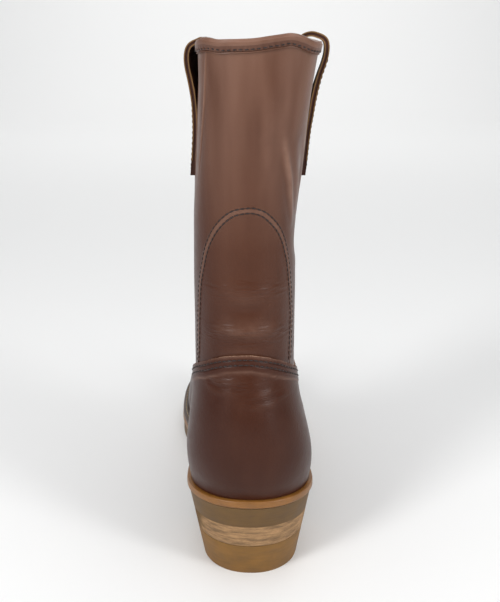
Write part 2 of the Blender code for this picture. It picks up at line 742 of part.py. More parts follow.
def settle(parts):
    """Put the middle of the boot's box over the origin, with the sole on the floor."""
    corners = np.array([vertex.co for part in parts for vertex in part.data.vertices])
    low, high = corners.min(0), corners.max(0)
    shift = -np.array([(low[0] + high[0]) / 2, (low[1] + high[1]) / 2, low[2]])
    for part in parts:
        part.data.transform(Matrix.Translation(shift))


def main():
    for item in list(bpy.data.objects):
        bpy.data.objects.remove(item)
    leather = make_material("brown oiled leather", (0.147, 0.068, 0.045), 0.42)
    strap_leather = make_material("strap leather", (0.130, 0.060, 0.040), 0.45)
    insole_leather = make_material("insole leather", (0.36, 0.21, 0.12), 0.6)
    welt_leather = make_material("tan welt leather", (0.39, 0.19, 0.07), 0.45)
    rubber = make_material("tan rubber", (0.20, 0.12, 0.045), 0.6)
    stacked = make_material("stacked heel lift", (0.43, 0.25, 0.14), 0.75)
    cap_rubber = make_material("heel cap rubber", (0.24, 0.14, 0.05), 0.6)

    rings, normals = upper_sections()
    feather = offset_in_plan(rings[0], VAMP_STEP)
    parts = [
        add_upper(rings, normals, leather),
        add_binding(rings[-1], rings[-2], leather),
        add_pull_strap("pull_strap_lateral", 1, strap_leather),
        add_pull_strap("pull_strap_medial", -1, strap_leather),
        add_insole(rings, insole_leather),
        add_welt(feather, welt_leather),
        add_midsole(feather, welt_leather),
        add_outsole(feather, rubber),
        *add_heel(feather, stacked, cap_rubber),
    ]
    settle(parts)
    boot = bpy.data.objects.new("western_work_boot", None)
    bpy.context.collection.objects.link(boot)
    for part in parts:
        part.parent = boot


main()
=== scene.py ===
"""Looks of a western work boot: leather upper, stitching, pull straps, welted sole, heel and studio.

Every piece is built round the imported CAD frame, in metres. +Y points to the toe, +X to the outer side of the
foot and +Z up.
"""

import math
from collections import namedtuple

import bpy
import numpy as np
from bpy.props import FloatProperty, FloatVectorProperty, PointerProperty
from mathutils import Matrix, Vector
from mathutils.bvhtree import BVHTree
from mathutils.kdtree import KDTree


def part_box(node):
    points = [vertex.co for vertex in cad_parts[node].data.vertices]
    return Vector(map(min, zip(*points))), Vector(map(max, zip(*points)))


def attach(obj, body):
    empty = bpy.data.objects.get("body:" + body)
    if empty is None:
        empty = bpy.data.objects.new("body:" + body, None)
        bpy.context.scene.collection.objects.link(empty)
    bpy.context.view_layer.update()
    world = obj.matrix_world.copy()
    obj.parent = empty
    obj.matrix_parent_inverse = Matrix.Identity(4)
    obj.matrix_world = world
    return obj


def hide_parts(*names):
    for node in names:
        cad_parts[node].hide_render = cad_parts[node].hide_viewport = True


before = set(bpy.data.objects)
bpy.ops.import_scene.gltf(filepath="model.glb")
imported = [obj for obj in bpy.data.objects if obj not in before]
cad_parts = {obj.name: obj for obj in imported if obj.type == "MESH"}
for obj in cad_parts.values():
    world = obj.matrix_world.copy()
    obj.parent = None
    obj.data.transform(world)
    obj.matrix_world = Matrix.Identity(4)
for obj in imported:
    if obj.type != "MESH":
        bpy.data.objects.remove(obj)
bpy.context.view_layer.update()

bl_info = {
    "name": "Western Work Boot",
    "version": (1, 0, 0),
    "blender": (4, 5, 0),
    "location": "View3D > Sidebar > Boot",
    "description": "Leather, stitching, sole and studio for a western work boot",
    "category": "Add Mesh",
}

MM = 0.001

HEEL_LOW, HEEL_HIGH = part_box("heel_cap")
UPPER_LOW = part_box("upper")[0]
HEEL_X = (HEEL_LOW.x + HEEL_HIGH.x) / 2
HEEL_BACK = UPPER_LOW.y + 5.6 * MM
SHAFT_AXIS = Vector((HEEL_X, UPPER_LOW.y + 76.8 * MM, 0))

# Rows of stitches, in millimetres below the ankle seam's edge and below the collar's edge
SEAM_ROW = 2.2
COLLAR_ROW = 3.9

# How far the collar is raised at the back and how far the ankle seam sags there, both in millimetres, by the
# place across the boot in millimetres from the heel's middle line
COLLAR_LIFT = (
    (-28, -25, -21.6, -18.5, -13, 2, 12.6, 21.3, 26.4, 29, 33, 36),
    (0, 1.8, 4.2, 2.6, 3.7, 4.3, 5.9, 6.9, 4.0, 2.2, -1.0, -1.5),
)
SEAM_SAG = (
    (-31, -25, -18, -11, -4, 1, 6, 13, 20, 26),
    (1.5, 2.7, 2.3, 1.0, 0.3, 0.3, 1.6, 2.9, 2.9, 2.6),
)
SEAM_HEIGHT = 134
SEAM_TALL = 14

# Paths are laid as points this far apart, smooth curves have this many points to a span, and the rays that
# find a path's places on the leather start this far out
PATH_STEP = 0.5 * MM
CURVE_STEPS = 12
FAR_OUT = 0.4

# The soft tops of the shaft and of the straps start to bend at the first height and are bent in full at the
# second one above it, both in millimetres
COLLAR_BEND = (262, 36)
STRAP_BEND = (266, 28)

# In millimetres: how far the distance from a row of stitches is told, how far from the panel's edge its sides
# are told apart, and the width of the doubled leather below the ankle seam
ROW_REACH = 16
PANEL_REACH = 120
DOUBLED = 9.0

# The panel lies within this angle of the back, in degrees
PANEL_SIDE = 60

# In millimetres: how far the doubled leather and the panel's band stand out, and how deep a hollow of the
# upper goes before the wall holds it back
DOUBLED_RISE = 0.45
BAND_RISE = 0.4
FIRM = 0.7

# The collar's binding, in millimetres: how far its roll stands out, how far the thread pulls it in, how far
# it puffs out again between the stitches, how far its lower edge is tucked under, and how far down it goes
ROLL_RISE = 0.55
ROLL_PULL = 0.45
ROLL_PUFF = 0.6
ROLL_TUCK = 1.7
BINDING_REACH = 20

# Material slots of the upper while it is shaped
SHAFT, RAW_EDGE, LINING, FOOT = range(4)

# Material slots of a pull strap: its faces, the cut edges of its plies, and the dark glue line between them
# with painted shade on the faces behind them
FACE, PLY, JOINT_AND_SHADE = range(3)

# Two rows of stitches that outline the panel on the back of the shaft. A place on the shaft is an angle in
# degrees, 0 straight behind and 90 at the outer side, and a height in millimetres.
PANEL_EDGE = (
    *((-34.0, 131), (-32.6, 144), (-31.5, 162), (-29.7, 178), (-26.6, 190), (-22.3, 203.3), (-16.1, 214.7)),
    *((-8.7, 222.3), (-1.5, 224.4), (3.4, 223.9), (8.8, 220.4)),
    *((15.9, 211.0), (20.8, 198.6), (23.8, 186.4), (27.2, 162.0), (26.8, 147), (26.1, 133)),
)

# Creases placed one by one. depth is negative for a trough and positive for a ridge, width is to where it
# fades, both in millimetres. wear is how much paler it is.
Crease = namedtuple("Crease", "name depth width places wear", defaults=(0.5,))
SHAFT_CREASES = (
    # fold edge: its wear of 2.4 paints the narrow highlight along the fold's crest
    Crease("fold edge", 0.5, 1.2, ((-17.5, 305), (-19, 292), (-21, 276), (-25, 254), (-29, 236)), 2.4),
    Crease("medial fold", 1.0, 3.0, ((-39, 300), (-40, 285), (-41, 270), (-43, 250), (-45, 225))),
    Crease("beside the fold", -0.8, 8.0, ((-52, 298), (-53, 275), (-55, 250), (-57, 230))),
    Crease("outer diagonal", 1.0, 3.2, ((14, 263), (16.5, 250), (19.5, 238), (22, 226), (25, 214)), 1.3),
    Crease("under the diagonal", -1.1, 7.0, ((25, 262), (30, 247), (36, 232), (42, 220))),
    Crease("outer fold", 0.7, 5.0, ((36, 245), (40, 232), (45, 219), (52, 210))),
    Crease("outer dent", -1.6, 9.0, ((36, 201), (48, 199), (62, 198), (78, 203))),
    Crease("back sheen", 0.35, 7.0, ((6, 287), (6.5, 268), (7, 250), (9, 232))),
    Crease("low back trough", -0.5, 6.0, ((-14, 170), (-3, 167), (9, 169))),
    Crease("low back ridge", 0.45, 5.0, ((-20, 159), (-6, 155), (6, 155), (17, 159))),
    Crease("above the seam", -0.5, 5.0, ((-17, 148), (-4, 150.5), (8, 148.5))),
    Crease("inner ankle", -1.5, 7.0, ((-52, 142), (-75, 134), (-98, 132), (-118, 140))),
    Crease("inner ankle upper", 1.1, 7.0, ((-56, 157), (-80, 151), (-102, 150), (-122, 158))),
    Crease("inner shin", -1.3, 8.0, ((-70, 178), (-96, 172), (-122, 176), (-142, 186))),
    Crease("outer ankle", -1.6, 7.0, ((50, 145), (72, 137), (97, 134), (118, 143))),
    Crease("outer ankle upper", 1.2, 7.0, ((52, 161), (76, 155), (100, 153), (124, 162))),
    Crease("outer shin", -1.3, 8.0, ((66, 181), (92, 175), (118, 178), (142, 188))),
    Crease("front ankle", -2.0, 8.0, ((128, 158), (150, 170), (180, 176), (-150, 171), (-128, 160))),
    Crease("front ankle roll", 1.5, 8.0, ((130, 176), (154, 188), (180, 193), (-154, 188), (-132, 178))),
    Crease("front shin", -1.0, 9.0, ((140, 203), (162, 211), (184, 213), (-158, 208))),
    Crease("counter crease inner", -0.35, 3.0, ((-22, 131), (-19, 126.5), (-12, 125), (-4, 124.6))),
    Crease("counter crease outer", -0.3, 3.0, ((-1, 117), (4, 117), (11, 118.5), (16, 120.5))),
    Crease("counter side inner", -0.9, 6.0, ((-45, 108), (-70, 96), (-95, 92), (-115, 96))),
    Crease("counter side outer", -0.9, 6.0, ((44, 106), (70, 94), (95, 90), (115, 94))),
)

# Creases over the instep and the ball of the foot: places in plan, in millimetres from the heel's middle line
# and from the back of the boot.
VAMP_CREASES = (
    Crease("instep fold", -1.3, 7.0, ((-22, 158), (-10, 166), (-2, 168), (8, 165), (20, 157))),
    Crease("instep roll", 0.9, 7.0, ((-24, 171), (-10, 180), (-2, 182), (8, 179), (21, 170))),
    Crease("ball crease", -1.2, 5.5, ((-36, 212), (-20, 217), (-6, 218), (10, 215), (27, 207))),
    Crease("ball roll", 0.7, 5.0, ((-36, 221), (-20, 226), (-6, 227), (10, 224), (26, 216))),
    Crease("toe flex crease", -1.0, 5.0, ((-34, 231), (-20, 235), (-7, 236), (7, 233), (20, 226))),
    Crease("toe flex roll", 0.5, 5.0, ((-31, 239), (-19, 243), (-7, 244), (6, 241), (17, 235))),
)

# Broad slack forms of the shaft: where, how far they reach round and up, and how far they stand out
Form = namedtuple("Form", "name angle height round tall depth")
SLACK_FORMS = (
    Form("outer bulge", 75, 226, 30, 16, 1.0),
    Form("outer hollow", 62, 199, 26, 13, -1.4),
    Form("inner facet", -62, 262, 22, 30, -0.9),
    Form("back hollow", 22, 250, 12, 26, -0.7),
    Form("low back swell", 0, 180, 24, 26, 0.5),
    Form("front slack", 178, 236, 34, 26, 1.2),
)

# Patches of fine level wrinkles, drawn in the leather's surface
WRINKLE_PATCHES = (
    Form("calf wrinkles", 0, 178, 17, 6, 0.8),
    Form("heel wrinkles", 0, 153, 20, 6, 1.0),
    Form("counter wrinkles", -9, 126, 11, 4, 0.7),
    Form("low counter wrinkles", 7, 117, 10, 4, 0.6),
    Form("inner ankle wrinkles", -90, 146, 36, 14, 1.0),
    Form("outer ankle wrinkles", 90, 150, 36, 14, 1.0),
    Form("front ankle wrinkles", 180, 172, 44, 18, 1.0),
)


def linear(hex_colour):
    """Linear red, green and blue of an sRGB hex colour."""
    channels = [int(hex_colour[i : i + 2], 16) / 255 for i in (0, 2, 4)]
    return tuple(c / 12.92 if c <= 0.04045 else ((c + 0.055) / 1.055) ** 2.4 for c in channels)


def colour(name, description, hex_colour):
    """A colour property of a settings group."""
    return FloatVectorProperty(
        name=name, description=description, subtype="COLOR", size=3, min=0, max=1, default=linear(hex_colour)
    )


def length(name, description, millimetres):
    """A length property of a settings group."""
    default = millimetres * MM
    return FloatProperty(
        name=name, description=description, subtype="DISTANCE", unit="LENGTH", default=default, precision=5
    )


class BootLeatherSettings(bpy.types.PropertyGroup):
    # dark and middle are mixed by height, so dark also paints the shade low down on the boot
    dark: colour("Low leather", "Oiled leather low down on the boot", "3a1808")
    middle: colour("Leather", "Oiled leather of the shaft", "54301f")
    # light also paints the light on the shaft's top and the highlights on folds, edges and the collar's roll
    light: colour("Worn and lit leather", "Leather where it is bent, rubbed or pulled", "9c7866")
    lining: colour("Lining", "Undyed lining leather", "8d5428")
    strap_edge: colour("Strap edge", "Cut edge of the pull straps", "7a5a34")
    raw: colour("Raw edge", "Cut edge of the leather", "a5826a")
    crease_depth: FloatProperty(
        name="Crease depth", description="How deep the creases are, as a share", default=1.0, min=0, max=2
    )
    grain: length("Grain", "Width of one grain cell of the leather", 1.1)


class BootStitchSettings(bpy.types.PropertyGroup):
    thread: colour("Thread", "Dark brown bonded thread of the upper", "1a0d09")
    welt_thread: colour("Welt thread", "Waxed linen thread of the welt", "8f7d5e")
    pitch: length("Pitch", "Length from one stitch to the next", 3.0)
    row_gap: length("Row gap", "Distance between two rows of stitches", 2.9)
    thickness: length("Thickness", "Thickness of the thread", 0.75)


class BootSoleSettings(bpy.types.PropertyGroup):
    lip: colour("Lip", "Waxed edge of the leather midsole", "8c5c24")
    rubber: colour("Outsole", "Moulded rubber of the outsole", "64471c")
    welt: colour("Welt", "Waxed brown leather of the welt", "4d3a2e")
    lift: colour("Heel lift", "Rough stacked lift of the heel", "a37f58")
    cap: colour("Heel cap", "Rubber cap on the ground", "80591f")
    insole: colour("Insole", "Smooth leather insole", "a37b56")


class BootStudioSettings(bpy.types.PropertyGroup):
    distance: length("Camera distance", "Level distance of the camera behind the heel", 448)
    height: length("Camera height", "Height of the camera above the floor", 312)
    tilt: FloatProperty(
        name="Tilt", description="How far the camera looks down", subtype="ANGLE", default=math.radians(17)
    )
    lens: FloatProperty(name="Lens", description="Focal length in millimetres", default=52.5, min=10, max=200)
    floor: colour("Floor", "Pale studio floor", "f4f4f3")


def add_node(material, kind, inputs=(), out=0, **settings):
    """Add a shader node with its settings, and return one of its outputs.

    inputs gives sockets by name or number, each with a value or with the output that is linked to it.
    """
    tree = material.node_tree
    node = tree.nodes.new("ShaderNode" + kind)
    for name, value in settings.items():
        setattr(node, name, value)
    for name, value in dict(inputs).items():
        if isinstance(value, bpy.types.NodeSocket):
            tree.links.new(value, node.inputs[name])
        else:
            node.inputs[name].default_value = value
    return node.outputs[out] if node.outputs else None


def rgba(rgb):
    return (*rgb, 1.0)


def toned(rgb, share):
    """The colour made darker or lighter, by one share or by one for each channel."""
    return tuple(np.minimum(1.0, np.multiply(rgb, share)))


def new_material(name):
    """A material without nodes, and the place on the piece as its first node."""
    material = bpy.data.materials.new(name)
    material.use_nodes = True
    material.node_tree.nodes.clear()
    return material, add_node(material, "TexCoord", out=3)


def finish_material(material, shader_inputs, height, depth):
    """Add the shader and the output. depth is how far the height pattern stands out, in metres."""
    bump = add_node(material, "Bump", {"Height": height, "Distance": depth, "Strength": 1.0})
    shader = add_node(material, "BsdfPrincipled", {**shader_inputs, "Normal": bump})
    add_node(material, "OutputMaterial", {"Surface": shader})
    return material


def add_up(material, start, *patterns):
    """The sum of start and of the patterns, each times its share."""
    total = start
    for pattern, share in patterns:
        total = add_node(material, "Math", {0: pattern, 1: share, 2: total}, operation="MULTIPLY_ADD")
    return total


def clouded(material, tint, dark, light, start, *patterns):
    """The tint between its dark and its light tone, by the sum of start and of the patterns."""
    share = add_up(material, start, *patterns)
    tones = {6: rgba(toned(tint, dark)), 7: rgba(toned(tint, light))}
    return add_node(material, "Mix", {0: share, **tones}, out=2, data_type="RGBA")


def line_at(material, distance, place, half_width):
    """1 on the line where the distance is at place, falling to 0 at half_width beside it."""
    away = add_node(material, "Math", {0: distance, 1: place}, operation="SUBTRACT")
    away = add_node(material, "Math", {0: away}, operation="ABSOLUTE")
    return add_node(
        material,
        "MapRange",
        {"Value": away, "From Min": 0.0, "From Max": half_width, "To Min": 1.0, "To Max": 0.0},
        interpolation_type="SMOOTHSTEP",
    )


def oiled_leather(settings, stitches, name="oiled pull-up cowhide"):
    """Full-grain cowhide, drum-dyed and waxed: satin, mottled, lighter where bent or rubbed, with painted
    light and shade.
    """
    material, where = new_material(name)
    seam, panel, wear, wrinkles = (
        add_node(material, "Attribute", out=2, attribute_name=layer)
        for layer in ("seam", "panel", "wear", "wrinkles")
    )
    # Patches of wax some 50 mm across, mottling of 8 mm, and streaks that run down the hide
    patches = add_node(material, "TexNoise", {"Vector": where, "Scale": 1 / (50 * MM), "Detail": 3.0})
    mottle = add_node(
        material, "TexNoise", {"Vector": where, "Scale": 1 / (8 * MM), "Detail": 5.0, "Roughness": 0.6}
    )
    down = add_node(material, "Mapping", {"Vector": where, "Scale": (1.0, 1.0, 0.12)})
    streaks = add_node(material, "TexNoise", {"Vector": down, "Scale": 1 / (14 * MM), "Detail": 2.0})
    across = add_node(material, "Mapping", {"Vector": where, "Scale": (0.14, 0.14, 1.0)})
    level = add_node(material, "TexNoise", {"Vector": across, "Scale": 1 / (1.9 * MM), "Detail": 2.0})
    grain = add_node(
        material, "TexVoronoi", {"Vector": where, "Scale": 1 / settings.grain}, feature="SMOOTH_F1"
    )
    pores = add_node(material, "TexNoise", {"Vector": where, "Scale": 1 / (0.7 * MM), "Detail": 2.0})
    # Darker towards the bottom: painted shade low down and painted light higher up, where the top light falls
    height = add_node(material, "SeparateXYZ", {0: where}, out=2)
    limits = {"From Min": 60 * MM, "From Max": 270 * MM, "To Min": 0.0, "To Max": 1.0}
    up = add_node(material, "MapRange", {"Value": height, **limits}, interpolation_type="SMOOTHSTEP")
    tone = add_up(material, -0.825, (patches, 0.9), (streaks, 0.5), (mottle, 0.25), (up, 1.0))
    base = add_node(
        material, "Mix", {0: tone, 6: rgba(settings.dark), 7: rgba(settings.middle)}, out=2, data_type="RGBA"
    )
    # Painted shade and brown reflection of the other boot on the inner side, painted light on the shaft's top
    inner = add_node(material, "SeparateXYZ", {0: where}, out=0)
    limits = {"From Min": HEEL_X - 36 * MM, "From Max": HEEL_X - 8 * MM, "To Min": 0.75, "To Max": 0.0}
    inner = add_node(material, "MapRange", {"Value": inner, **limits}, interpolation_type="SMOOTHSTEP")
    limits = {"From Min": 200 * MM, "From Max": 310 * MM, "To Min": 0.0, "To Max": 0.85}
    lit_top = add_node(material, "MapRange", {"Value": height, **limits})
    lit_top = add_node(material, "Math", {0: lit_top, 1: streaks}, operation="MULTIPLY")
    # Wax is pushed aside where the leather bends, so creases and ridges go pale; the same layer paints
    # highlights on edges
    pale = add_node(material, "Math", {0: mottle, 1: 0.8, 2: 0.08}, operation="MULTIPLY_ADD")
    pale = add_node(material, "Math", {0: wear, 1: pale}, operation="MULTIPLY", use_clamp=True)
    # Painted shade in the needle holes and in the groove along each row, and the dark thread's wax
    rows = [
        line_at(material, seam, SEAM_ROW, 0.7),
        line_at(material, seam, SEAM_ROW + stitches.row_gap / MM, 0.7),
        line_at(material, panel, -stitches.row_gap / MM / 2, 0.7),
        line_at(material, panel, stitches.row_gap / MM / 2, 0.7),
    ]
    sewn = rows[0]
    for row in rows[1:]:
        sewn = add_node(material, "Math", {0: sewn, 1: row}, operation="MAXIMUM")
    row_shade_and_wax = add_node(material, "Math", {0: sewn, 1: 0.6}, operation="MULTIPLY")
    # The doubled leather below the ankle seam is darker and redder; on the collar this band tone paints the
    # shade under the roll
    band = line_at(material, seam, 4.0, 5.0)
    band_dark = add_node(material, "Math", {0: band, 1: 0.45}, operation="MULTIPLY")
    # Tints mixed in: painted shade of the other boot, painted top light, wear with painted highlights, band
    # tone, row shade and wax
    for share, tint in (
        (inner, toned(settings.dark, (1.0, 0.8, 0.6))),
        (lit_top, settings.light),
        (pale, settings.light),
        (band_dark, toned(settings.dark, (0.95, 0.72, 0.66))),
        (row_shade_and_wax, toned(settings.dark, 0.35)),
    ):
        base = add_node(material, "Mix", {0: share, 6: base, 7: rgba(tint)}, out=2, data_type="RGBA")
    rough = add_up(material, 0.25, (mottle, 0.24), (wear, 0.06))
    folds = add_node(material, "Math", {0: level, 1: wrinkles}, operation="MULTIPLY")
    relief = add_up(
        material, 0.0, (grain, 0.10), (pores, 0.07), (mottle, 0.25), (folds, 3.2), (sewn, -0.35)
    )
    return finish_material(
        material,
        {
            "Base Color": base,
            "Roughness": rough,
            "Specular IOR Level": 0.24,
            "Coat Weight": 0.03,
            "Coat Roughness": 0.2,
        },
        relief,
        0.5 * MM,
    )


def plain_leather(name, tint, roughness, grain_mm, depth, streak_share=0.25):
    """Undyed or lightly finished leather: cloudy colour and a fine grain."""
    material, where = new_material(name)
    clouds = add_node(material, "TexNoise", {"Vector": where, "Scale": 1 / (12 * MM), "Detail": 5.0})
    fine = add_node(material, "TexNoise", {"Vector": where, "Scale": 1 / (grain_mm * MM), "Detail": 3.0})
    base = clouded(material, tint, 0.55, 1.25, -0.15, (fine, streak_share), (clouds, 1.0))
    rough = add_node(material, "Math", {0: fine, 1: 0.2, 2: roughness - 0.1}, operation="MULTIPLY_ADD")
    return finish_material(material, {"Base Color": base, "Roughness": rough, "IOR": 1.47}, fine, depth)


def spun_thread(name, tint):
    """Bonded and waxed sewing thread: twisted plies, low gloss."""
    material, where = new_material(name)
    twist = add_node(material, "TexNoise", {"Vector": where, "Scale": 1 / (0.5 * MM), "Detail": 2.0})
    light = toned(tint, 1.8)
    base = add_node(material, "Mix", {0: twist, 6: rgba(tint), 7: rgba(light)}, out=2, data_type="RGBA")
    return finish_material(material, {"Base Color": base, "Roughness": 0.5}, twist, 0.1 * MM)


def moulded_rubber(name, tint, stretch, depth):
    """Moulded tan rubber: matt, faintly streaked along the mould, dusty and rubbed."""
    material, where = new_material(name)
    level = add_node(material, "Mapping", {"Vector": where, "Scale": stretch})
    streaks = add_node(material, "TexNoise", {"Vector": level, "Scale": 1 / (1.6 * MM), "Detail": 4.0})
    clouds = add_node(material, "TexNoise", {"Vector": where, "Scale": 1 / (11 * MM), "Detail": 4.0})
    base = clouded(material, tint, 0.6, 1.3, -0.3, (streaks, 0.6), (clouds, 1.0))
    rough = add_node(material, "Math", {0: clouds, 1: 0.2, 2: 0.5}, operation="MULTIPLY_ADD")
    return finish_material(material, {"Base Color": base, "Roughness": rough, "IOR": 1.52}, streaks, depth)


def edge_leather(name, tint):
    """Cut, sanded and waxed sole leather: level fibre lines, a warm gloss, darker smudges."""
    material, where = new_material(name)
    level = add_node(material, "Mapping", {"Vector": where, "Scale": (0.08, 0.08, 1.0)})
    fibres = add_node(material, "TexNoise", {"Vector": level, "Scale": 1 / (0.9 * MM), "Detail": 4.0})
    smudges = add_node(material, "TexNoise", {"Vector": where, "Scale": 1 / (9 * MM), "Detail": 4.0})
    base = clouded(material, tint, 0.5, 1.25, -0.25, (fibres, 0.8), (smudges, 0.7))
    rough = add_node(material, "Math", {0: smudges, 1: 0.3, 2: 0.3}, operation="MULTIPLY_ADD")
    return finish_material(
        material,
        {"Base Color": base, "Roughness": rough, "Coat Weight": 0.15, "Coat Roughness": 0.3},
        fibres,
        0.15 * MM,
    )


def stacked_lift(sole):
    """Leatherboard, sanded level: rough and pale, with coarse broken fibre lines, dyed at the inner side."""
    material, where = new_material("sanded leatherboard lift")
    level = add_node(material, "Mapping", {"Vector": where, "Scale": (0.16, 0.16, 1.0)})
    fibres = add_node(
        material, "TexNoise", {"Vector": level, "Scale": 1 / (1.9 * MM), "Detail": 6.0, "Roughness": 0.75}
    )
    clumps = add_node(material, "TexNoise", {"Vector": where, "Scale": 1 / (5 * MM), "Detail": 4.0})
    across = add_node(material, "SeparateXYZ", {0: where}, out=0)
    base = clouded(material, sole.lift, 0.5, 1.3, -1.5, (fibres, 3.4), (clumps, 0.5))
    wobble = add_node(material, "Math", {0: clumps, 1: 6 * MM, 2: across}, operation="MULTIPLY_ADD")
    limits = {"From Min": HEEL_X - 29 * MM, "From Max": HEEL_X - 23 * MM, "To Min": 1.0, "To Max": 0.0}
    dyed = add_node(material, "MapRange", {"Value": wobble, **limits}, interpolation_type="SMOOTHSTEP")
    base = add_node(material, "Mix", {0: dyed, 6: base, 7: rgba(sole.rubber)}, out=2, data_type="RGBA")
    return finish_material(material, {"Base Color": base, "Roughness": 0.85}, fibres, 0.5 * MM)


def deselect_all():
    bpy.ops.object.select_all(action="DESELECT")


def pick(piece):
    """Make the piece the only selected and the active object."""
    deselect_all()
    piece.select_set(True)
    bpy.context.view_layer.objects.active = piece


def clear_selection(kind):
    """Deselect all of the active piece's vertices, edges and faces."""
    bpy.ops.object.mode_set(mode="EDIT")
    bpy.ops.mesh.select_mode(type=kind)
    bpy.ops.mesh.select_all(action="DESELECT")
    bpy.ops.object.mode_set(mode="OBJECT")


def merged_copy(node, name, sharp_angle=35):
    """A copy of a CAD node with its corners merged, its faces four-sided and its sharp edges creased."""
    piece = bpy.data.objects.new(name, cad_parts[node].data.copy())
    bpy.context.collection.objects.link(piece)
    piece.data.name = name
    piece.data.materials.clear()
    pick(piece)
    bpy.ops.mesh.customdata_custom_splitnormals_clear()
    bpy.ops.object.mode_set(mode="EDIT")
    bpy.ops.mesh.select_mode(type="EDGE")
    bpy.ops.mesh.select_all(action="SELECT")
    bpy.ops.mesh.remove_doubles(threshold=0.01 * MM)
    bpy.ops.mesh.mark_sharp(clear=True)
    bpy.ops.mesh.tris_convert_to_quads(face_threshold=math.radians(40), shape_threshold=math.radians(60))
    bpy.ops.mesh.select_all(action="DESELECT")
    bpy.ops.mesh.edges_select_sharp(sharpness=math.radians(sharp_angle))
    bpy.ops.transform.edge_crease(value=1.0)
    bpy.ops.object.mode_set(mode="OBJECT")
    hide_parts(node)
    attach(piece, "root")
    return piece


def dress(node, name, material, rounding=0.0):
    """Finish a copy of a CAD node of one material, its sharp edges rounded by a width."""
    piece = merged_copy(node, name)
    subdivide(piece, 2)
    if rounding:
        round_edges(piece, rounding)
    piece.data.materials.append(material)
    shade(piece)


def subdivide(piece, levels):
    pick(piece)
    modifier = piece.modifiers.new("Subdivision", "SUBSURF")
    modifier.levels = modifier.render_levels = levels
    bpy.ops.object.modifier_apply(modifier=modifier.name)


def round_edges(piece, width, segments=2):
    """Break the piece's sharp edges, as trimming and sanding do."""
    pick(piece)
    modifier = piece.modifiers.new("Bevel", "BEVEL")
    modifier.width = width
    modifier.segments = segments
    modifier.limit_method = "ANGLE"
    modifier.angle_limit = math.radians(35)
    bpy.ops.object.modifier_apply(modifier=modifier.name)


def shade(piece, angle=50):
    pick(piece)
    bpy.ops.object.shade_smooth_by_angle(angle=math.radians(angle))


def vertex_array(piece, what="vertices", field="co"):
    data = getattr(piece.data, what)
    values = np.empty(len(data) * 3)
    data.foreach_get(field, values)
    return values.reshape(-1, 3)


def set_layers(piece, **layers):
    """Give the piece's vertices the values that its leather reads: seam, panel, wear and wrinkles."""
    for name, values in layers.items():
        layer = piece.data.attributes.new(name, "FLOAT", "POINT").data
        layer.foreach_set("value", np.full(len(layer), values, float))


def surface_of(piece):
    return BVHTree.FromObject(piece, bpy.context.evaluated_depsgraph_get())


def smooth_curve(points, per_span):
    """A smooth curve through the points, as an array."""
    p = np.array(points, float)
    p = np.vstack([2 * p[0] - p[1], p, 2 * p[-1] - p[-2]])
    u = np.linspace(0, 1, per_span, endpoint=False)[:, None]
    spans = [
        0.5 * (2 * b + (c - a) * u + (2 * a - 5 * b + 4 * c - d) * u**2 + (3 * b - a - 3 * c + d) * u**3)
        for a, b, c, d in zip(p, p[1:], p[2:], p[3:])
    ]
    return np.vstack(spans + [p[-2:-1]])


def lengths_along(path):
    """How far each point lies from the path's start, measured along it."""
    return np.append(0, np.cumsum(np.linalg.norm(np.diff(path, axis=0), axis=1)))


def directions(path):
    """The unit vector along the path at each of its points."""
    tangents = np.gradient(path, axis=0)
    return tangents / np.linalg.norm(tangents, axis=1)[:, None]


def evenly(path, step=PATH_STEP):
    """The path again, as an array of points one step apart."""
    path = np.array(path)
    lengths = lengths_along(path)
    count = max(2, int(round(lengths[-1] / step)) + 1)
    at = np.linspace(0, lengths[-1], count)
    return np.stack([np.interp(at, lengths, path[:, k]) for k in range(3)], 1)


def path_round_shaft(surface, places):
    """The smooth line through places that are given by angle and height, on the outside of the boot."""
    angles, heights = np.array(places, float).T
    points = []
    for angle, height in smooth_curve(np.stack([np.unwrap(np.radians(angles)), heights], 1), CURVE_STEPS):
        outward = Vector((math.sin(angle), -math.cos(angle), 0))
        start = SHAFT_AXIS + outward * FAR_OUT + Vector((0, 0, height * MM))
        points.append(surface.ray_cast(start, -outward)[0])
    return evenly(points)


def path_on_vamp(surface, spots):
    """The smooth line through spots that are given in plan, on top of the foot."""
    points = []
    for across, along in smooth_curve(spots, CURVE_STEPS):
        start = Vector((HEEL_X + across * MM, UPPER_LOW.y + along * MM, FAR_OUT))
        points.append(surface.ray_cast(start, Vector((0, 0, -1)))[0])
    return evenly(points)


def tree_of(path):
    """A search tree of the path's points."""
    tree = KDTree(len(path))
    for i, place in enumerate(path):
        tree.insert(place, i)
    tree.balance()
    return tree


def measure_from(path, points, normals, reach):
    """For each point: its signed distance from the path, the share of the path's length there, and whether
    it is within reach. The distance is positive on the right of the path as seen from outside."""
    tree = tree_of(path)
    tangents = directions(path)
    near = ((points > path.min(0) - reach) & (points < path.max(0) + reach)).all(1)
    places = np.flatnonzero(near)
    nearest = np.array([tree.find(points[i])[1] for i in places], int)
    away = points[places] - path[nearest]
    ahead = (away * tangents[nearest]).sum(1)
    side = np.cross(tangents[nearest], normals[places])
    past_end = ((nearest == 0) & (ahead < 0)) | ((nearest == len(path) - 1) & (ahead > 0))
    flat = away - tangents[nearest] * np.where(past_end, 0, ahead)[:, None]
    signed = np.linalg.norm(flat, axis=1) * np.sign((away * side).sum(1) + 1e-12)
    distance = np.full(len(points), reach)
    along = np.zeros(len(points))
    distance[places] = np.clip(signed, -reach, reach)
    along[places] = nearest / (len(path) - 1)
    return distance, along, np.abs(distance) < reach


def bell(distance, width):
    """1 where the distance is 0, falling off on either side."""
    return np.exp(-((distance / width) ** 2))


def eased(values, start, span):
    """0 up to the start, 1 from the start and the span on, and a soft slope between them."""
    share = np.clip((values - start) / span, 0, 1)
    return share**2 * (3 - 2 * share)


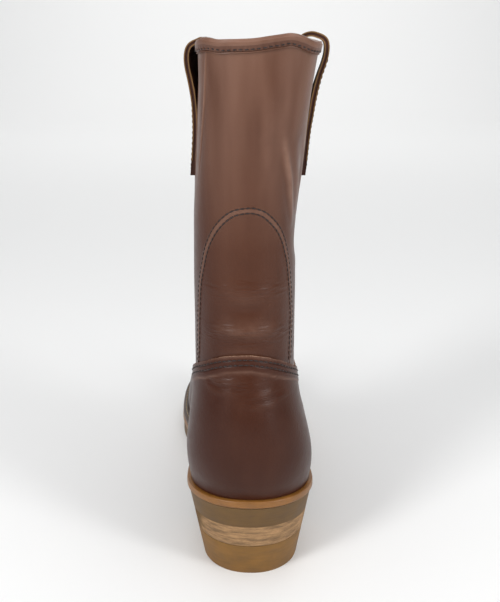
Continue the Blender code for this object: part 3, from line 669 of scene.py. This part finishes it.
def angle_and_height(points):
    """Each point's angle round the shaft in degrees and its height in millimetres."""
    x, y = points[:, 0] - SHAFT_AXIS.x, points[:, 1] - SHAFT_AXIS.y
    return np.degrees(np.arctan2(x, -y)), points[:, 2] / MM


def patch(points, form):
    """How strongly a broad form is felt at each point, from 0 to 1."""
    angles, heights = angle_and_height(points)
    turn = (angles - form.angle + 180) % 360 - 180
    return bell(turn, form.round) * bell(heights - form.height, form.tall)


def lines_between(piece, first, second):
    """The closed lines between the faces of two material slots, from the lowest to the highest. Each is an
    array of points that runs anticlockwise as seen from above and ends where it starts."""
    mesh = piece.data
    slots_at = {}
    for face in mesh.polygons:
        for key in face.edge_keys:
            slots_at.setdefault(key, []).append(face.material_index)
    beside = {}
    for (a, b), slots in slots_at.items():
        if sorted(slots) == sorted((first, second)):
            beside.setdefault(a, []).append(b)
            beside.setdefault(b, []).append(a)
    lines = []
    while beside:
        start = here = next(iter(beside))
        loop, last = [start], None
        while True:
            onward = [v for v in beside.pop(here) if v != last]
            last, here = here, onward[0]
            loop.append(here)
            if here == start:
                break
        points = np.array([mesh.vertices[v].co for v in loop])
        middle = points.mean(0)
        turn = np.cross(points[:-1] - middle, points[1:] - middle)[:, 2].sum()
        lines.append(points if turn > 0 else points[::-1])
    return sorted(lines, key=lambda points: points[:, 2].mean())


def name_regions(piece):
    """Give each face of the upper its slot: shaft, raw edge, lining or foot, which meet at sharp edges."""
    mesh = piece.data
    faces = mesh.polygons
    crease = mesh.attributes["crease_edge"].data
    beside = {}
    for face in faces:
        for key in face.edge_keys:
            beside.setdefault(key, []).append(face.index)
    neighbours = [[] for _ in faces]
    for edge in mesh.edges:
        pair = beside[edge.key]
        if len(pair) == 2 and crease[edge.index].value < 0.5:
            neighbours[pair[0]].append(pair[1])
            neighbours[pair[1]].append(pair[0])
    region = [-1] * len(faces)
    regions = []
    for first in range(len(faces)):
        if region[first] >= 0:
            continue
        members, stack = [], [first]
        region[first] = len(regions)
        while stack:
            here = stack.pop()
            members.append(here)
            for other in neighbours[here]:
                if region[other] < 0:
                    region[other] = len(regions)
                    stack.append(other)
        regions.append(members)
    walls = sorted(regions, key=lambda members: -sum(faces[i].area for i in members))[:3]

    def mean_height(members):
        return sum(faces[i].center.z for i in members) / len(members)

    lining = min(walls, key=lambda members: sum(inward_vote(faces[i]) for i in members) / len(members))
    outer = sorted((members for members in walls if members is not lining), key=mean_height)
    for slot, members in ((LINING, lining), (FOOT, outer[0]), (SHAFT, outer[1])):
        for i in members:
            faces[i].material_index = slot
    named = {i for members in walls for i in members}
    for face in faces:
        if face.index not in named:
            face.material_index = RAW_EDGE


def inward_vote(face):
    """Above 0 for a face that looks away from the middle of the hollow, below 0 for one that looks at it."""
    middle = Vector((HEEL_X - 3 * MM, max(SHAFT_AXIS.y, min(face.center.y, 0.09)), face.center.z))
    if face.center.z < 0.12:
        middle.z = 0.045
    return face.normal.dot((face.center - middle).normalized())


class BOOT_OT_upper(bpy.types.Operator):
    """Shape and finish the leather upper: vamp, counter and shaft with their seams, creases and lining"""

    bl_idname = "boot.upper"
    bl_label = "Leather upper"

    def execute(self, context):
        leather = context.scene.boot_leather
        stitches = context.scene.boot_stitches
        piece = merged_copy("upper", "leather_upper")
        for _ in range(4):
            piece.data.materials.append(None)
        name_regions(piece)
        subdivide(piece, 2)
        self.add_detail(piece)
        self.shape(piece, leather.crease_depth, stitches.row_gap / MM)
        hide = oiled_leather(leather, stitches)
        raw = plain_leather("raw cut edge", leather.raw, 0.8, 0.5, 0.2 * MM, 0.6)
        lining = plain_leather("pigskin lining", leather.lining, 0.55, 1.2, 0.15 * MM)
        for slot, finish in ((SHAFT, hide), (RAW_EDGE, raw), (LINING, lining), (FOOT, hide)):
            piece.data.materials[slot] = finish
        shade(piece)
        return {"FINISHED"}

    def add_detail(self, piece):
        """Halve the faces of the outer leather that is seen from behind, where creases are finest."""
        pick(piece)
        clear_selection("FACE")
        for face in piece.data.polygons:
            behind = face.center.y < SHAFT_AXIS.y - 2 * MM and face.center.z > 0.1
            face.select = behind and face.material_index in (SHAFT, FOOT)
        bpy.ops.object.mode_set(mode="EDIT")
        bpy.ops.mesh.subdivide(number_cuts=1, quadcorner="INNERVERT")
        bpy.ops.object.mode_set(mode="OBJECT")

    def shape(self, piece, depth, row_gap):
        """Move the outer leather along its normals into creases, folds and raised seams."""
        points = vertex_array(piece)
        normals = vertex_array(piece, "vertex_normals", "vector")
        surface = surface_of(piece)
        outer, on_shaft = np.zeros((2, len(points)), bool)
        for face in piece.data.polygons:
            if face.material_index in (SHAFT, FOOT):
                outer[list(face.vertices)] = True
            if face.material_index == SHAFT:
                on_shaft[list(face.vertices)] = True
        seam_line = evenly(lines_between(piece, RAW_EDGE, FOOT)[-1])
        seam = measure_from(seam_line, points, normals, ROW_REACH * MM)[0]
        seam = np.where(on_shaft, -np.abs(seam), seam) / MM
        panel = measure_from(path_round_shaft(surface, PANEL_EDGE), points, normals, PANEL_REACH * MM)[0] / MM
        panel = np.where(np.abs(angle_and_height(points)[0]) > PANEL_SIDE, -ROW_REACH, panel)
        centre = np.clip(panel - row_gap / 2, -ROW_REACH, ROW_REACH)
        creases, worn_and_lit = self.crease(surface, points, normals)
        slack = sum(form.depth * patch(points, form) for form in SLACK_FORMS)
        # Two layers of leather lie under the rows of the ankle seam, and the panel's band is puffed
        doubled = (seam > 0) * np.clip(DOUBLED + 0.2 - seam, 0, 1)
        puff = np.clip(1 - (centre / (row_gap / 2 + 0.9)) ** 2, 0, 1) * (seam < 0)
        move = depth * (creases + slack) + DOUBLED_RISE * doubled + BAND_RISE * puff
        # The leather is rubbed pale on the band; painted highlights run along the edge of the doubled leather
        # and along the cut edge
        worn_and_lit += 0.45 * puff + 0.5 * bell(seam - DOUBLED, 0.7) * (seam > 0)
        worn_and_lit += 0.5 * bell(seam, 0.6) * (seam >= -0.2)
        # The wall is thin, so a hollow never goes deeper than twice FIRM
        move = np.where(move < -FIRM, -FIRM - FIRM * np.tanh((-FIRM - move) / FIRM), move)
        above_sole = np.clip((points[:, 2] - UPPER_LOW.z) / (10 * MM), 0, 1)
        points += normals * (move * MM * outer * above_sole)[:, None]
        raise_and_sag(points)
        piece.data.vertices.foreach_set("co", points.ravel())
        panel = np.where(seam < 0, centre, ROW_REACH)
        wrinkles = np.clip(sum(form.depth * patch(points, form) for form in WRINKLE_PATCHES), 0, 1)
        set_layers(piece, seam=seam, panel=panel, wear=np.clip(worn_and_lit, 0, 1), wrinkles=wrinkles)
        piece.data.update()

    def crease(self, surface, points, normals):
        """How far the creases move each point outwards, in millimetres, and how pale they make it."""
        move, worn_and_lit = np.zeros((2, len(points)))
        for crease in SHAFT_CREASES + VAMP_CREASES:
            lay = path_on_vamp if crease in VAMP_CREASES else path_round_shaft
            width = crease.width * MM
            away, along, close = measure_from(lay(surface, crease.places), points, normals, 3.2 * width)
            fade = np.sin(np.pi * np.clip(along, 0.02, 0.98)) ** 0.7 * close
            # The leather that leaves the core of a fold stands up as its flanks, and the reverse
            core = bell(away / width, 0.625)
            flanks = bell(np.abs(away / width) - 1.25, 0.625)
            move += crease.depth * fade * (core - 0.3 * flanks)
            bent = core if crease.depth > 0 else 0.6 * flanks
            worn_and_lit += crease.wear * fade * bent * min(1.0, abs(crease.depth))
        return move, worn_and_lit


def raise_and_sag(points):
    """Raise the collar where it stands up at the back, and let the ankle seam sag at its sides."""
    across = (points[:, 0] - HEEL_X) / MM
    behind = np.clip((SHAFT_AXIS.y + 15 * MM - points[:, 1]) / (25 * MM), 0, 1)
    height = points[:, 2] / MM
    rounded = sum(np.interp(across + step, *COLLAR_LIFT) for step in (-3, -1.5, 0, 1.5, 3)) / 5
    lift = rounded * eased(height, *COLLAR_BEND)
    sag = np.interp(across, *SEAM_SAG) * bell(height - SEAM_HEIGHT, SEAM_TALL)
    points[:, 2] += (lift - sag) * behind * MM


def collar_rim():
    """The outer edge of the shaft at the collar, as evenly spaced points."""
    return evenly(lines_between(bpy.data.objects["leather_upper"], RAW_EDGE, SHAFT)[-1])


def smoothed(path, reach):
    """A closed path without its kinks, averaged over reach points on either side."""
    ring = path[:-1]
    ring = sum(np.roll(ring, k, axis=0) for k in range(-reach, reach + 1)) / (2 * reach + 1)
    return np.vstack([ring, ring[:1]])


def beside_path(surface, path, distance):
    """The path moved along the surface, to its right as seen from outside where the distance is positive."""
    tangents = np.gradient(path, axis=0)
    moved = []
    for point, tangent in zip(path, tangents):
        side = Vector(tangent).normalized().cross(surface.find_nearest(point)[1])
        moved.append(surface.find_nearest(Vector(point) + side * distance)[0])
    return evenly(moved)


def below_seam(surface, seam, distance):
    """The closed seam line moved down the foot by a distance that is measured along the leather."""
    normals = np.array([surface.find_nearest(point - np.array((0, 0, 5 * MM)))[1] for point in seam])
    normals = smoothed(normals, 12)
    tangents = np.gradient(seam, axis=0)
    moved = []
    for point, tangent, normal in zip(seam, tangents, normals):
        down = Vector(tangent).normalized().cross(Vector(normal).normalized())
        start = Vector(point) + down * distance + Vector(normal) * 3 * MM
        hit = surface.ray_cast(start, -Vector(normal), 8 * MM)[0]
        moved.append(hit or surface.find_nearest(Vector(point) + down * distance)[0])
    return evenly(smoothed(np.array(moved), 6))


def sew(name, surface, path, stitches, material, share=0.86):
    """A row of stitches along a path on a surface, copied from one. share is its part of the pitch."""
    deselect_all()
    bpy.ops.mesh.primitive_uv_sphere_add(segments=8, ring_count=6, radius=1)
    stitch = bpy.context.active_object
    bpy.ops.object.mode_set(mode="EDIT")
    # A stitch is flatter than it is wide, and its ends dip towards the needle holes
    half = stitches.pitch * share / 2
    bpy.ops.transform.resize(value=(stitches.thickness / 2, stitches.thickness * 0.4, half))
    bpy.ops.object.mode_set(mode="OBJECT")
    for vertex in stitch.data.vertices:
        vertex.co.y -= 0.3 * stitches.thickness * (vertex.co.z / half) ** 2
    copies = []
    places = evenly(path, stitches.pitch)
    centres = (places[1:] + places[:-1]) / 2
    for centre, step in zip(centres, np.diff(places, axis=0)):
        on_surface, normal = surface.find_nearest(centre)[:2]
        ahead = Vector(step).normalized()
        side = normal.cross(ahead).normalized()
        normal = ahead.cross(side)
        mesh = stitch.data.copy()
        turn = Matrix((side, normal, ahead)).transposed().to_4x4()
        mesh.transform(Matrix.Translation(on_surface + normal * 0.1 * MM) @ turn)
        copy = bpy.data.objects.new(name, mesh)
        bpy.context.collection.objects.link(copy)
        copies.append(copy)
    bpy.data.objects.remove(stitch)
    deselect_all()
    for copy in copies:
        copy.select_set(True)
    bpy.context.view_layer.objects.active = copies[0]
    bpy.ops.object.join()
    row = bpy.context.active_object
    row.name = name
    row.data.materials.clear()
    row.data.materials.append(material)
    bpy.ops.object.shade_smooth()
    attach(row, "root")


class BOOT_OT_collar(bpy.types.Operator):
    """Roll the leather binding over the edge of the collar"""

    bl_idname = "boot.collar"
    bl_label = "Rolled collar"

    def execute(self, context):
        leather = context.scene.boot_leather
        stitches = context.scene.boot_stitches
        piece = merged_copy("collar_binding", "rolled_collar", 180)
        subdivide(piece, 3)
        points = vertex_array(piece)
        raise_and_sag(points)
        normals = vertex_array(piece, "vertex_normals", "vector")
        rim = collar_rim()
        down = measure_from(rim, points, normals, BINDING_REACH * MM)[0] / MM
        tree = tree_of(rim)
        along = lengths_along(rim)[[tree.find(point)[1] for point in points]]
        away = points[:, :2] - np.array(SHAFT_AXIS)[:2]
        outside = np.clip((normals[:, :2] * away).sum(1) / np.linalg.norm(away, axis=1) + 0.1, 0, 1)
        # The roll swells, the thread pulls it in between the stitches, and below them it is tucked under
        swell = ROLL_RISE * bell(down - 1.0, 1.7)
        pulled = bell(down - COLLAR_ROW, 0.9)
        scallop = 0.5 - 0.5 * np.cos(2 * np.pi * along / stitches.pitch)
        tucked = np.clip((down - COLLAR_ROW - 0.5) / 0.9, 0, 1)
        move = swell - pulled * (ROLL_PULL - ROLL_PUFF * scallop) - ROLL_TUCK * tucked
        points += normals * (move * MM * outside)[:, None]
        piece.data.vertices.foreach_set("co", points.ravel())
        # Painted highlight along the top of the roll, and paler puffs between the stitches
        wear = np.clip(0.5 * bell(down + 0.6, 1.2) + 0.3 * pulled * scallop, 0, 1)
        # Below 2 mm the binding takes the band's darker, redder tone: painted shade where the roll turns under
        seam = np.where(down > 2, 4.0, -ROW_REACH)
        set_layers(piece, wear=wear, seam=seam, panel=ROW_REACH, wrinkles=0)
        piece.data.materials.append(oiled_leather(leather, stitches, "oiled cowhide binding"))
        shade(piece, 80)
        return {"FINISHED"}


class BOOT_OT_pull_straps(bpy.types.Operator):
    """Finish both pull straps as two plies of leather with raw edges"""

    bl_idname = "boot.pull_straps"
    bl_label = "Pull straps"

    def execute(self, context):
        leather = context.scene.boot_leather
        stitches = context.scene.boot_stitches
        # In millimetres: how far each loop's back and front edge are brought nearer to the shaft, and how far
        # it is lowered
        seats = {"lateral": (4.2, 2.6, 0.8), "medial": (3.0, 6.5, 3.8)}
        hide = oiled_leather(leather, stitches, "oiled strap leather")
        raw = plain_leather("raw strap edge", leather.strap_edge, 0.8, 0.5, 0.2 * MM, 0.6)
        joint_and_shade = plain_leather("glue line between the plies", leather.dark, 0.8, 0.5, 0.1 * MM)
        for side, seat in seats.items():
            piece = merged_copy(f"pull_strap_{side}", f"strap_{side}")
            for material in (hide, raw, joint_and_shade):
                piece.data.materials.append(material)
            self.split_plies(piece)
            subdivide(piece, 2)
            self.seat(piece, *(size * MM for size in seat))
            set_layers(piece, wear=0.15, seam=-ROW_REACH, panel=ROW_REACH, wrinkles=0)
            shade(piece, 60)
        return {"FINISHED"}

    def split_plies(self, piece):
        """Cut the long narrow sides into strips, pale at the two plies and dark and sunk between them."""
        mesh = piece.data
        middle = sum((v.co.y for v in mesh.vertices)) / len(mesh.vertices)
        reach = max(abs(v.co.y - middle) for v in mesh.vertices)
        pick(piece)
        clear_selection("EDGE")

        def at_side(face, slope):
            return abs(face.normal.y) > slope and abs(face.center.y - middle) > 0.9 * reach

        keys = [key for face in mesh.polygons if at_side(face, 0.8) for key in face.edge_keys]
        lowest = min(v.co.z for v in mesh.vertices) + 1.5 * MM
        for edge in mesh.edges:
            at_foot = all(mesh.vertices[v].co.z < lowest for v in edge.vertices)
            edge.select = keys.count(edge.key) == 2 or (at_foot and edge.key in keys)
        bpy.ops.object.mode_set(mode="EDIT")
        bpy.ops.mesh.subdivide(number_cuts=3)
        bpy.ops.object.mode_set(mode="OBJECT")
        broad = {v for f in mesh.polygons if abs(f.normal.y) < 0.5 for v in f.vertices}
        inner = set()
        for face in mesh.polygons:
            # Faces that look at the shaft, and the ply edges at the strap's foot, get the dark joint material:
            # painted shade behind and under the strap
            if face.normal.x * (face.center.x - SHAFT_AXIS.x) < 0:
                face.material_index = JOINT_AND_SHADE
            if at_side(face, 0.6):
                ply_edge = any(v in broad for v in face.vertices)
                if not ply_edge:
                    inner.update(face.vertices)
                face.material_index = PLY if ply_edge and face.center.z > lowest + 8 * MM else JOINT_AND_SHADE
        rims = {v for f in mesh.polygons if f.material_index != JOINT_AND_SHADE for v in f.vertices}
        for v in inner - rims:
            mesh.vertices[v].co.y -= math.copysign(0.5 * MM, mesh.vertices[v].co.y - middle)

    def seat(self, piece, back_inward, front_inward, lower):
        """Bring the back and the front edge of a strap's loop nearer to the shaft and lower it, in metres."""
        points = vertex_array(piece)
        y = points[:, 1]
        inward = back_inward + (front_inward - back_inward) * (y - y.min()) / (y.max() - y.min())
        share = eased(points[:, 2] / MM, *STRAP_BEND)
        outside = np.clip((np.abs(points[:, 0] - SHAFT_AXIS.x) - 24 * MM) / (8 * MM), 0, 1)
        points[:, 0] -= np.sign(points[:, 0]) * inward * share * outside
        points[:, 2] -= lower * share
        piece.data.vertices.foreach_set("co", points.ravel())


class BOOT_OT_sole(bpy.types.Operator):
    """Finish the insole, welt, midsole and outsole"""

    bl_idname = "boot.sole"
    bl_label = "Welted sole"

    def execute(self, context):
        sole = context.scene.boot_sole
        smooth = plain_leather("insole leather", sole.insole, 0.6, 1.1, 0.1 * MM)
        brown = edge_leather("waxed welt leather", sole.welt)
        tan = edge_leather("waxed midsole edge", sole.lip)
        rubber = moulded_rubber("moulded sole rubber", sole.rubber, (0.1, 0.1, 1.0), 0.15 * MM)
        dress("insole", "leather_insole", smooth)
        dress("welt", "stitched_welt", brown)
        dress("midsole", "leather_midsole", tan)
        dress("outsole", "rubber_outsole", rubber)
        return {"FINISHED"}


class BOOT_OT_heel(bpy.types.Operator):
    """Finish the stacked heel: the pale lift and the rubber cap"""

    bl_idname = "boot.heel"
    bl_label = "Heel"

    def execute(self, context):
        sole = context.scene.boot_sole
        cap = moulded_rubber("moulded heel cap rubber", sole.cap, (0.16, 0.16, 1.0), 0.15 * MM)
        dress("heel_base", "heel_lift", stacked_lift(sole), 0.25 * MM)
        dress("heel_cap", "heel_top_piece", cap, 0.25 * MM)
        return {"FINISHED"}


class BOOT_OT_stitching(bpy.types.Operator):
    """Sew the rows of stitches on the upper, the collar, the straps and the welt"""

    bl_idname = "boot.stitching"
    bl_label = "Stitching"

    def execute(self, context):
        stitches = context.scene.boot_stitches
        dark = spun_thread("bonded brown thread", stitches.thread)
        piece = bpy.data.objects["leather_upper"]
        upper = surface_of(piece)
        seam = smoothed(evenly(lines_between(piece, RAW_EDGE, FOOT)[-1]), 8)
        for name, below in (("upper", SEAM_ROW * MM), ("lower", SEAM_ROW * MM + stitches.row_gap)):
            sew(f"ankle_stitches_{name}", upper, below_seam(upper, seam, below), stitches, dark)
        panel = path_round_shaft(upper, PANEL_EDGE)
        sew("panel_stitches_outer", upper, panel, stitches, dark)
        sew("panel_stitches_inner", upper, beside_path(upper, panel, stitches.row_gap), stitches, dark)
        collar = surface_of(bpy.data.objects["rolled_collar"])
        rim = collar_rim()
        middle = rim.mean(0)
        outward = (rim - middle) * (1, 1, 0)
        outward /= np.linalg.norm(outward, axis=1)[:, None]
        row = rim + outward * 4 * MM - np.array((0, 0, (COLLAR_ROW + 0.3) * MM))
        row = np.array([collar.find_nearest(point)[0] for point in row])
        sew("collar_stitches", collar, evenly(smoothed(row, 3)), stitches, dark, 0.7)
        for side, sign in (("lateral", 1), ("medial", -1)):
            self.sew_strap(f"strap_{side}", sign, stitches, dark)
        self.sew_welt(stitches)
        return {"FINISHED"}

    def sew_strap(self, name, sign, stitches, thread):
        """Two rows down the outer face of a strap, in from its edges, joined by one across its foot."""
        piece = bpy.data.objects[name]
        surface = surface_of(piece)
        points = vertex_array(piece)
        low, high = points.min(0), points.max(0)
        inset = 2.6 * MM
        top, foot = high[2] - 14 * MM, low[2] + 3 * MM
        back, front = low[1] + inset, high[1] - inset
        heights = np.linspace(top, foot, 40)
        places = [(back, z) for z in heights]
        places += [(y, foot) for y in np.linspace(back, front, 16)[1:-1]]
        places += [(front, z) for z in heights[::-1]]
        inward = Vector((-sign, 0, 0))
        path = [surface.ray_cast(Vector((sign * FAR_OUT, y, z)), inward)[0] for y, z in places]
        sew(name + "_stitches", surface, evenly(path), stitches, thread)

    def sew_welt(self, stitches):
        """One row of pale thread on the welt, in from its edge, from breast to breast round the toe."""
        inset = 2.3 * MM
        piece = bpy.data.objects["stitched_welt"]
        surface = surface_of(piece)
        points = vertex_array(piece)
        # The edge is followed round a place in the middle of the sole, in steps of 3 degrees
        middle = np.array((-4 * MM, 20 * MM))
        angles = np.degrees(np.arctan2(points[:, 0] - middle[0], points[:, 1] - middle[1]))
        radii = np.linalg.norm(points[:, :2] - middle, axis=1)
        edge = []
        for angle in np.arange(-150, 151, 3.0):
            near = np.flatnonzero(np.abs(angles - angle) < 2.5)
            if len(near):
                edge.append(points[near[np.argmax(radii[near])]])
        edge = evenly(edge, 2 * MM)
        path = []
        for point, tangent in zip(edge, directions(edge[:, :2])):
            x, y = point[:2] + inset * np.array((tangent[1], -tangent[0]))
            hit = surface.ray_cast(Vector((x, y, point[2] + 5 * MM)), Vector((0, 0, -1)))[0]
            if hit:
                path.append(hit)
        pale = spun_thread("waxed linen thread", stitches.welt_thread)
        sew("welt_stitches", surface, evenly(path), stitches, pale, 0.75)


class BOOT_OT_studio(bpy.types.Operator):
    """Set up the pale floor, the soft lights and the camera behind the heel"""

    bl_idname = "boot.studio"
    bl_label = "Studio"

    def execute(self, context):
        settings = context.scene.boot_studio
        self.add_floor(settings)
        self.add_light("softbox above", (0.1, -0.35, 1.5), 1.5, 1.5, 12)
        self.add_light("softbox right", (1.1, -1.0, 0.8), 0.35, 1.1, 10)
        self.add_light("softbox left", (-0.95, -1.15, 0.95), 0.4, 1.0, 15)
        self.add_light("backdrop light", (0, 1.6, 2.6), 2.5, 1.0, 60, (0, 3.6, 1.0))
        world = bpy.data.worlds.new("pale studio")
        world.use_nodes = True
        sky = world.node_tree.nodes["Background"].inputs
        sky["Color"].default_value = (0.93, 0.95, 1.0, 1)
        sky["Strength"].default_value = 0.2
        context.scene.world = world
        camera = bpy.data.objects.new("camera", bpy.data.cameras.new("camera"))
        context.collection.objects.link(camera)
        camera.data.lens = settings.lens
        camera.data.sensor_width = 36
        camera.data.clip_start = 0.01
        camera.location = (HEEL_X, HEEL_BACK - settings.distance, settings.height)
        camera.rotation_euler = (math.pi / 2 - settings.tilt, 0, 0)
        context.scene.camera = camera
        context.scene.view_settings.view_transform = "Standard"
        return {"FINISHED"}

    def add_floor(self, settings):
        """A sheet of pale paper that sweeps up behind the boot."""
        deselect_all()
        bpy.ops.mesh.primitive_plane_add(size=8, location=(0, 0, 0))
        sheet = bpy.context.active_object
        sheet.name = "paper_sweep"
        clear_selection("EDGE")
        for edge in sheet.data.edges:
            edge.select = all(sheet.data.vertices[v].co.y > 3.9 for v in edge.vertices)
        bpy.ops.object.mode_set(mode="EDIT")
        bpy.ops.mesh.extrude_region_move(TRANSFORM_OT_translate={"value": (0, 0, 4)})
        bpy.ops.object.mode_set(mode="OBJECT")
        round_edges(sheet, 1.5, 16)
        shade(sheet)
        paper, where = new_material("matt studio paper")
        fibres = add_node(paper, "TexNoise", {"Vector": where, "Scale": 1 / (2 * MM)})
        finish_material(paper, {"Base Color": rgba(settings.floor), "Roughness": 0.9}, fibres, 0.01 * MM)
        sheet.data.materials.append(paper)

    def add_light(self, name, place, width, height, power, target=(HEEL_X, -0.08, 0.14)):
        """A softbox of a width and height in metres and a power in watts, turned to its target."""
        light = bpy.data.lights.new(name, "AREA")
        light.shape = "RECTANGLE"
        light.size = width
        light.size_y = height
        light.energy = power
        lamp = bpy.data.objects.new(name, light)
        bpy.context.collection.objects.link(lamp)
        lamp.location = place
        aim = Vector(target) - Vector(place)
        lamp.rotation_euler = aim.to_track_quat("-Z", "Y").to_euler()


class BOOT_PT_maker(bpy.types.Panel):
    """Lists the steps that dress the boot, and the sizes and colours that they use"""

    bl_idname = "BOOT_PT_maker"
    bl_label = "Western Work Boot"
    bl_space_type = "VIEW_3D"
    bl_region_type = "UI"
    bl_category = "Boot"

    def draw(self, context):
        for step in STEPS:
            self.layout.operator(step)
        for name in SETTINGS:
            box = self.layout.box()
            group = getattr(context.scene, name)
            for field in group.bl_rna.properties:
                if field.identifier not in ("rna_type", "name"):
                    box.prop(group, field.identifier)


STEPS = (
    "boot.upper",
    "boot.collar",
    "boot.pull_straps",
    "boot.sole",
    "boot.heel",
    "boot.stitching",
    "boot.studio",
)
SETTINGS = {
    "boot_leather": BootLeatherSettings,
    "boot_stitches": BootStitchSettings,
    "boot_sole": BootSoleSettings,
    "boot_studio": BootStudioSettings,
}
CLASSES = (
    *SETTINGS.values(),
    BOOT_OT_upper,
    BOOT_OT_collar,
    BOOT_OT_pull_straps,
    BOOT_OT_sole,
    BOOT_OT_heel,
    BOOT_OT_stitching,
    BOOT_OT_studio,
    BOOT_PT_maker,
)


def register():
    for item in CLASSES:
        bpy.utils.register_class(item)
    for name, group in SETTINGS.items():
        setattr(bpy.types.Scene, name, PointerProperty(type=group))


def unregister():
    for name in SETTINGS:
        delattr(bpy.types.Scene, name)
    for item in reversed(CLASSES):
        bpy.utils.unregister_class(item)


def main():
    register()
    bpy.ops.boot.upper()
    bpy.ops.boot.collar()
    bpy.ops.boot.pull_straps()
    bpy.ops.boot.sole()
    bpy.ops.boot.heel()
    bpy.ops.boot.stitching()
    bpy.ops.boot.studio()


if __name__ == "__main__":
    main()
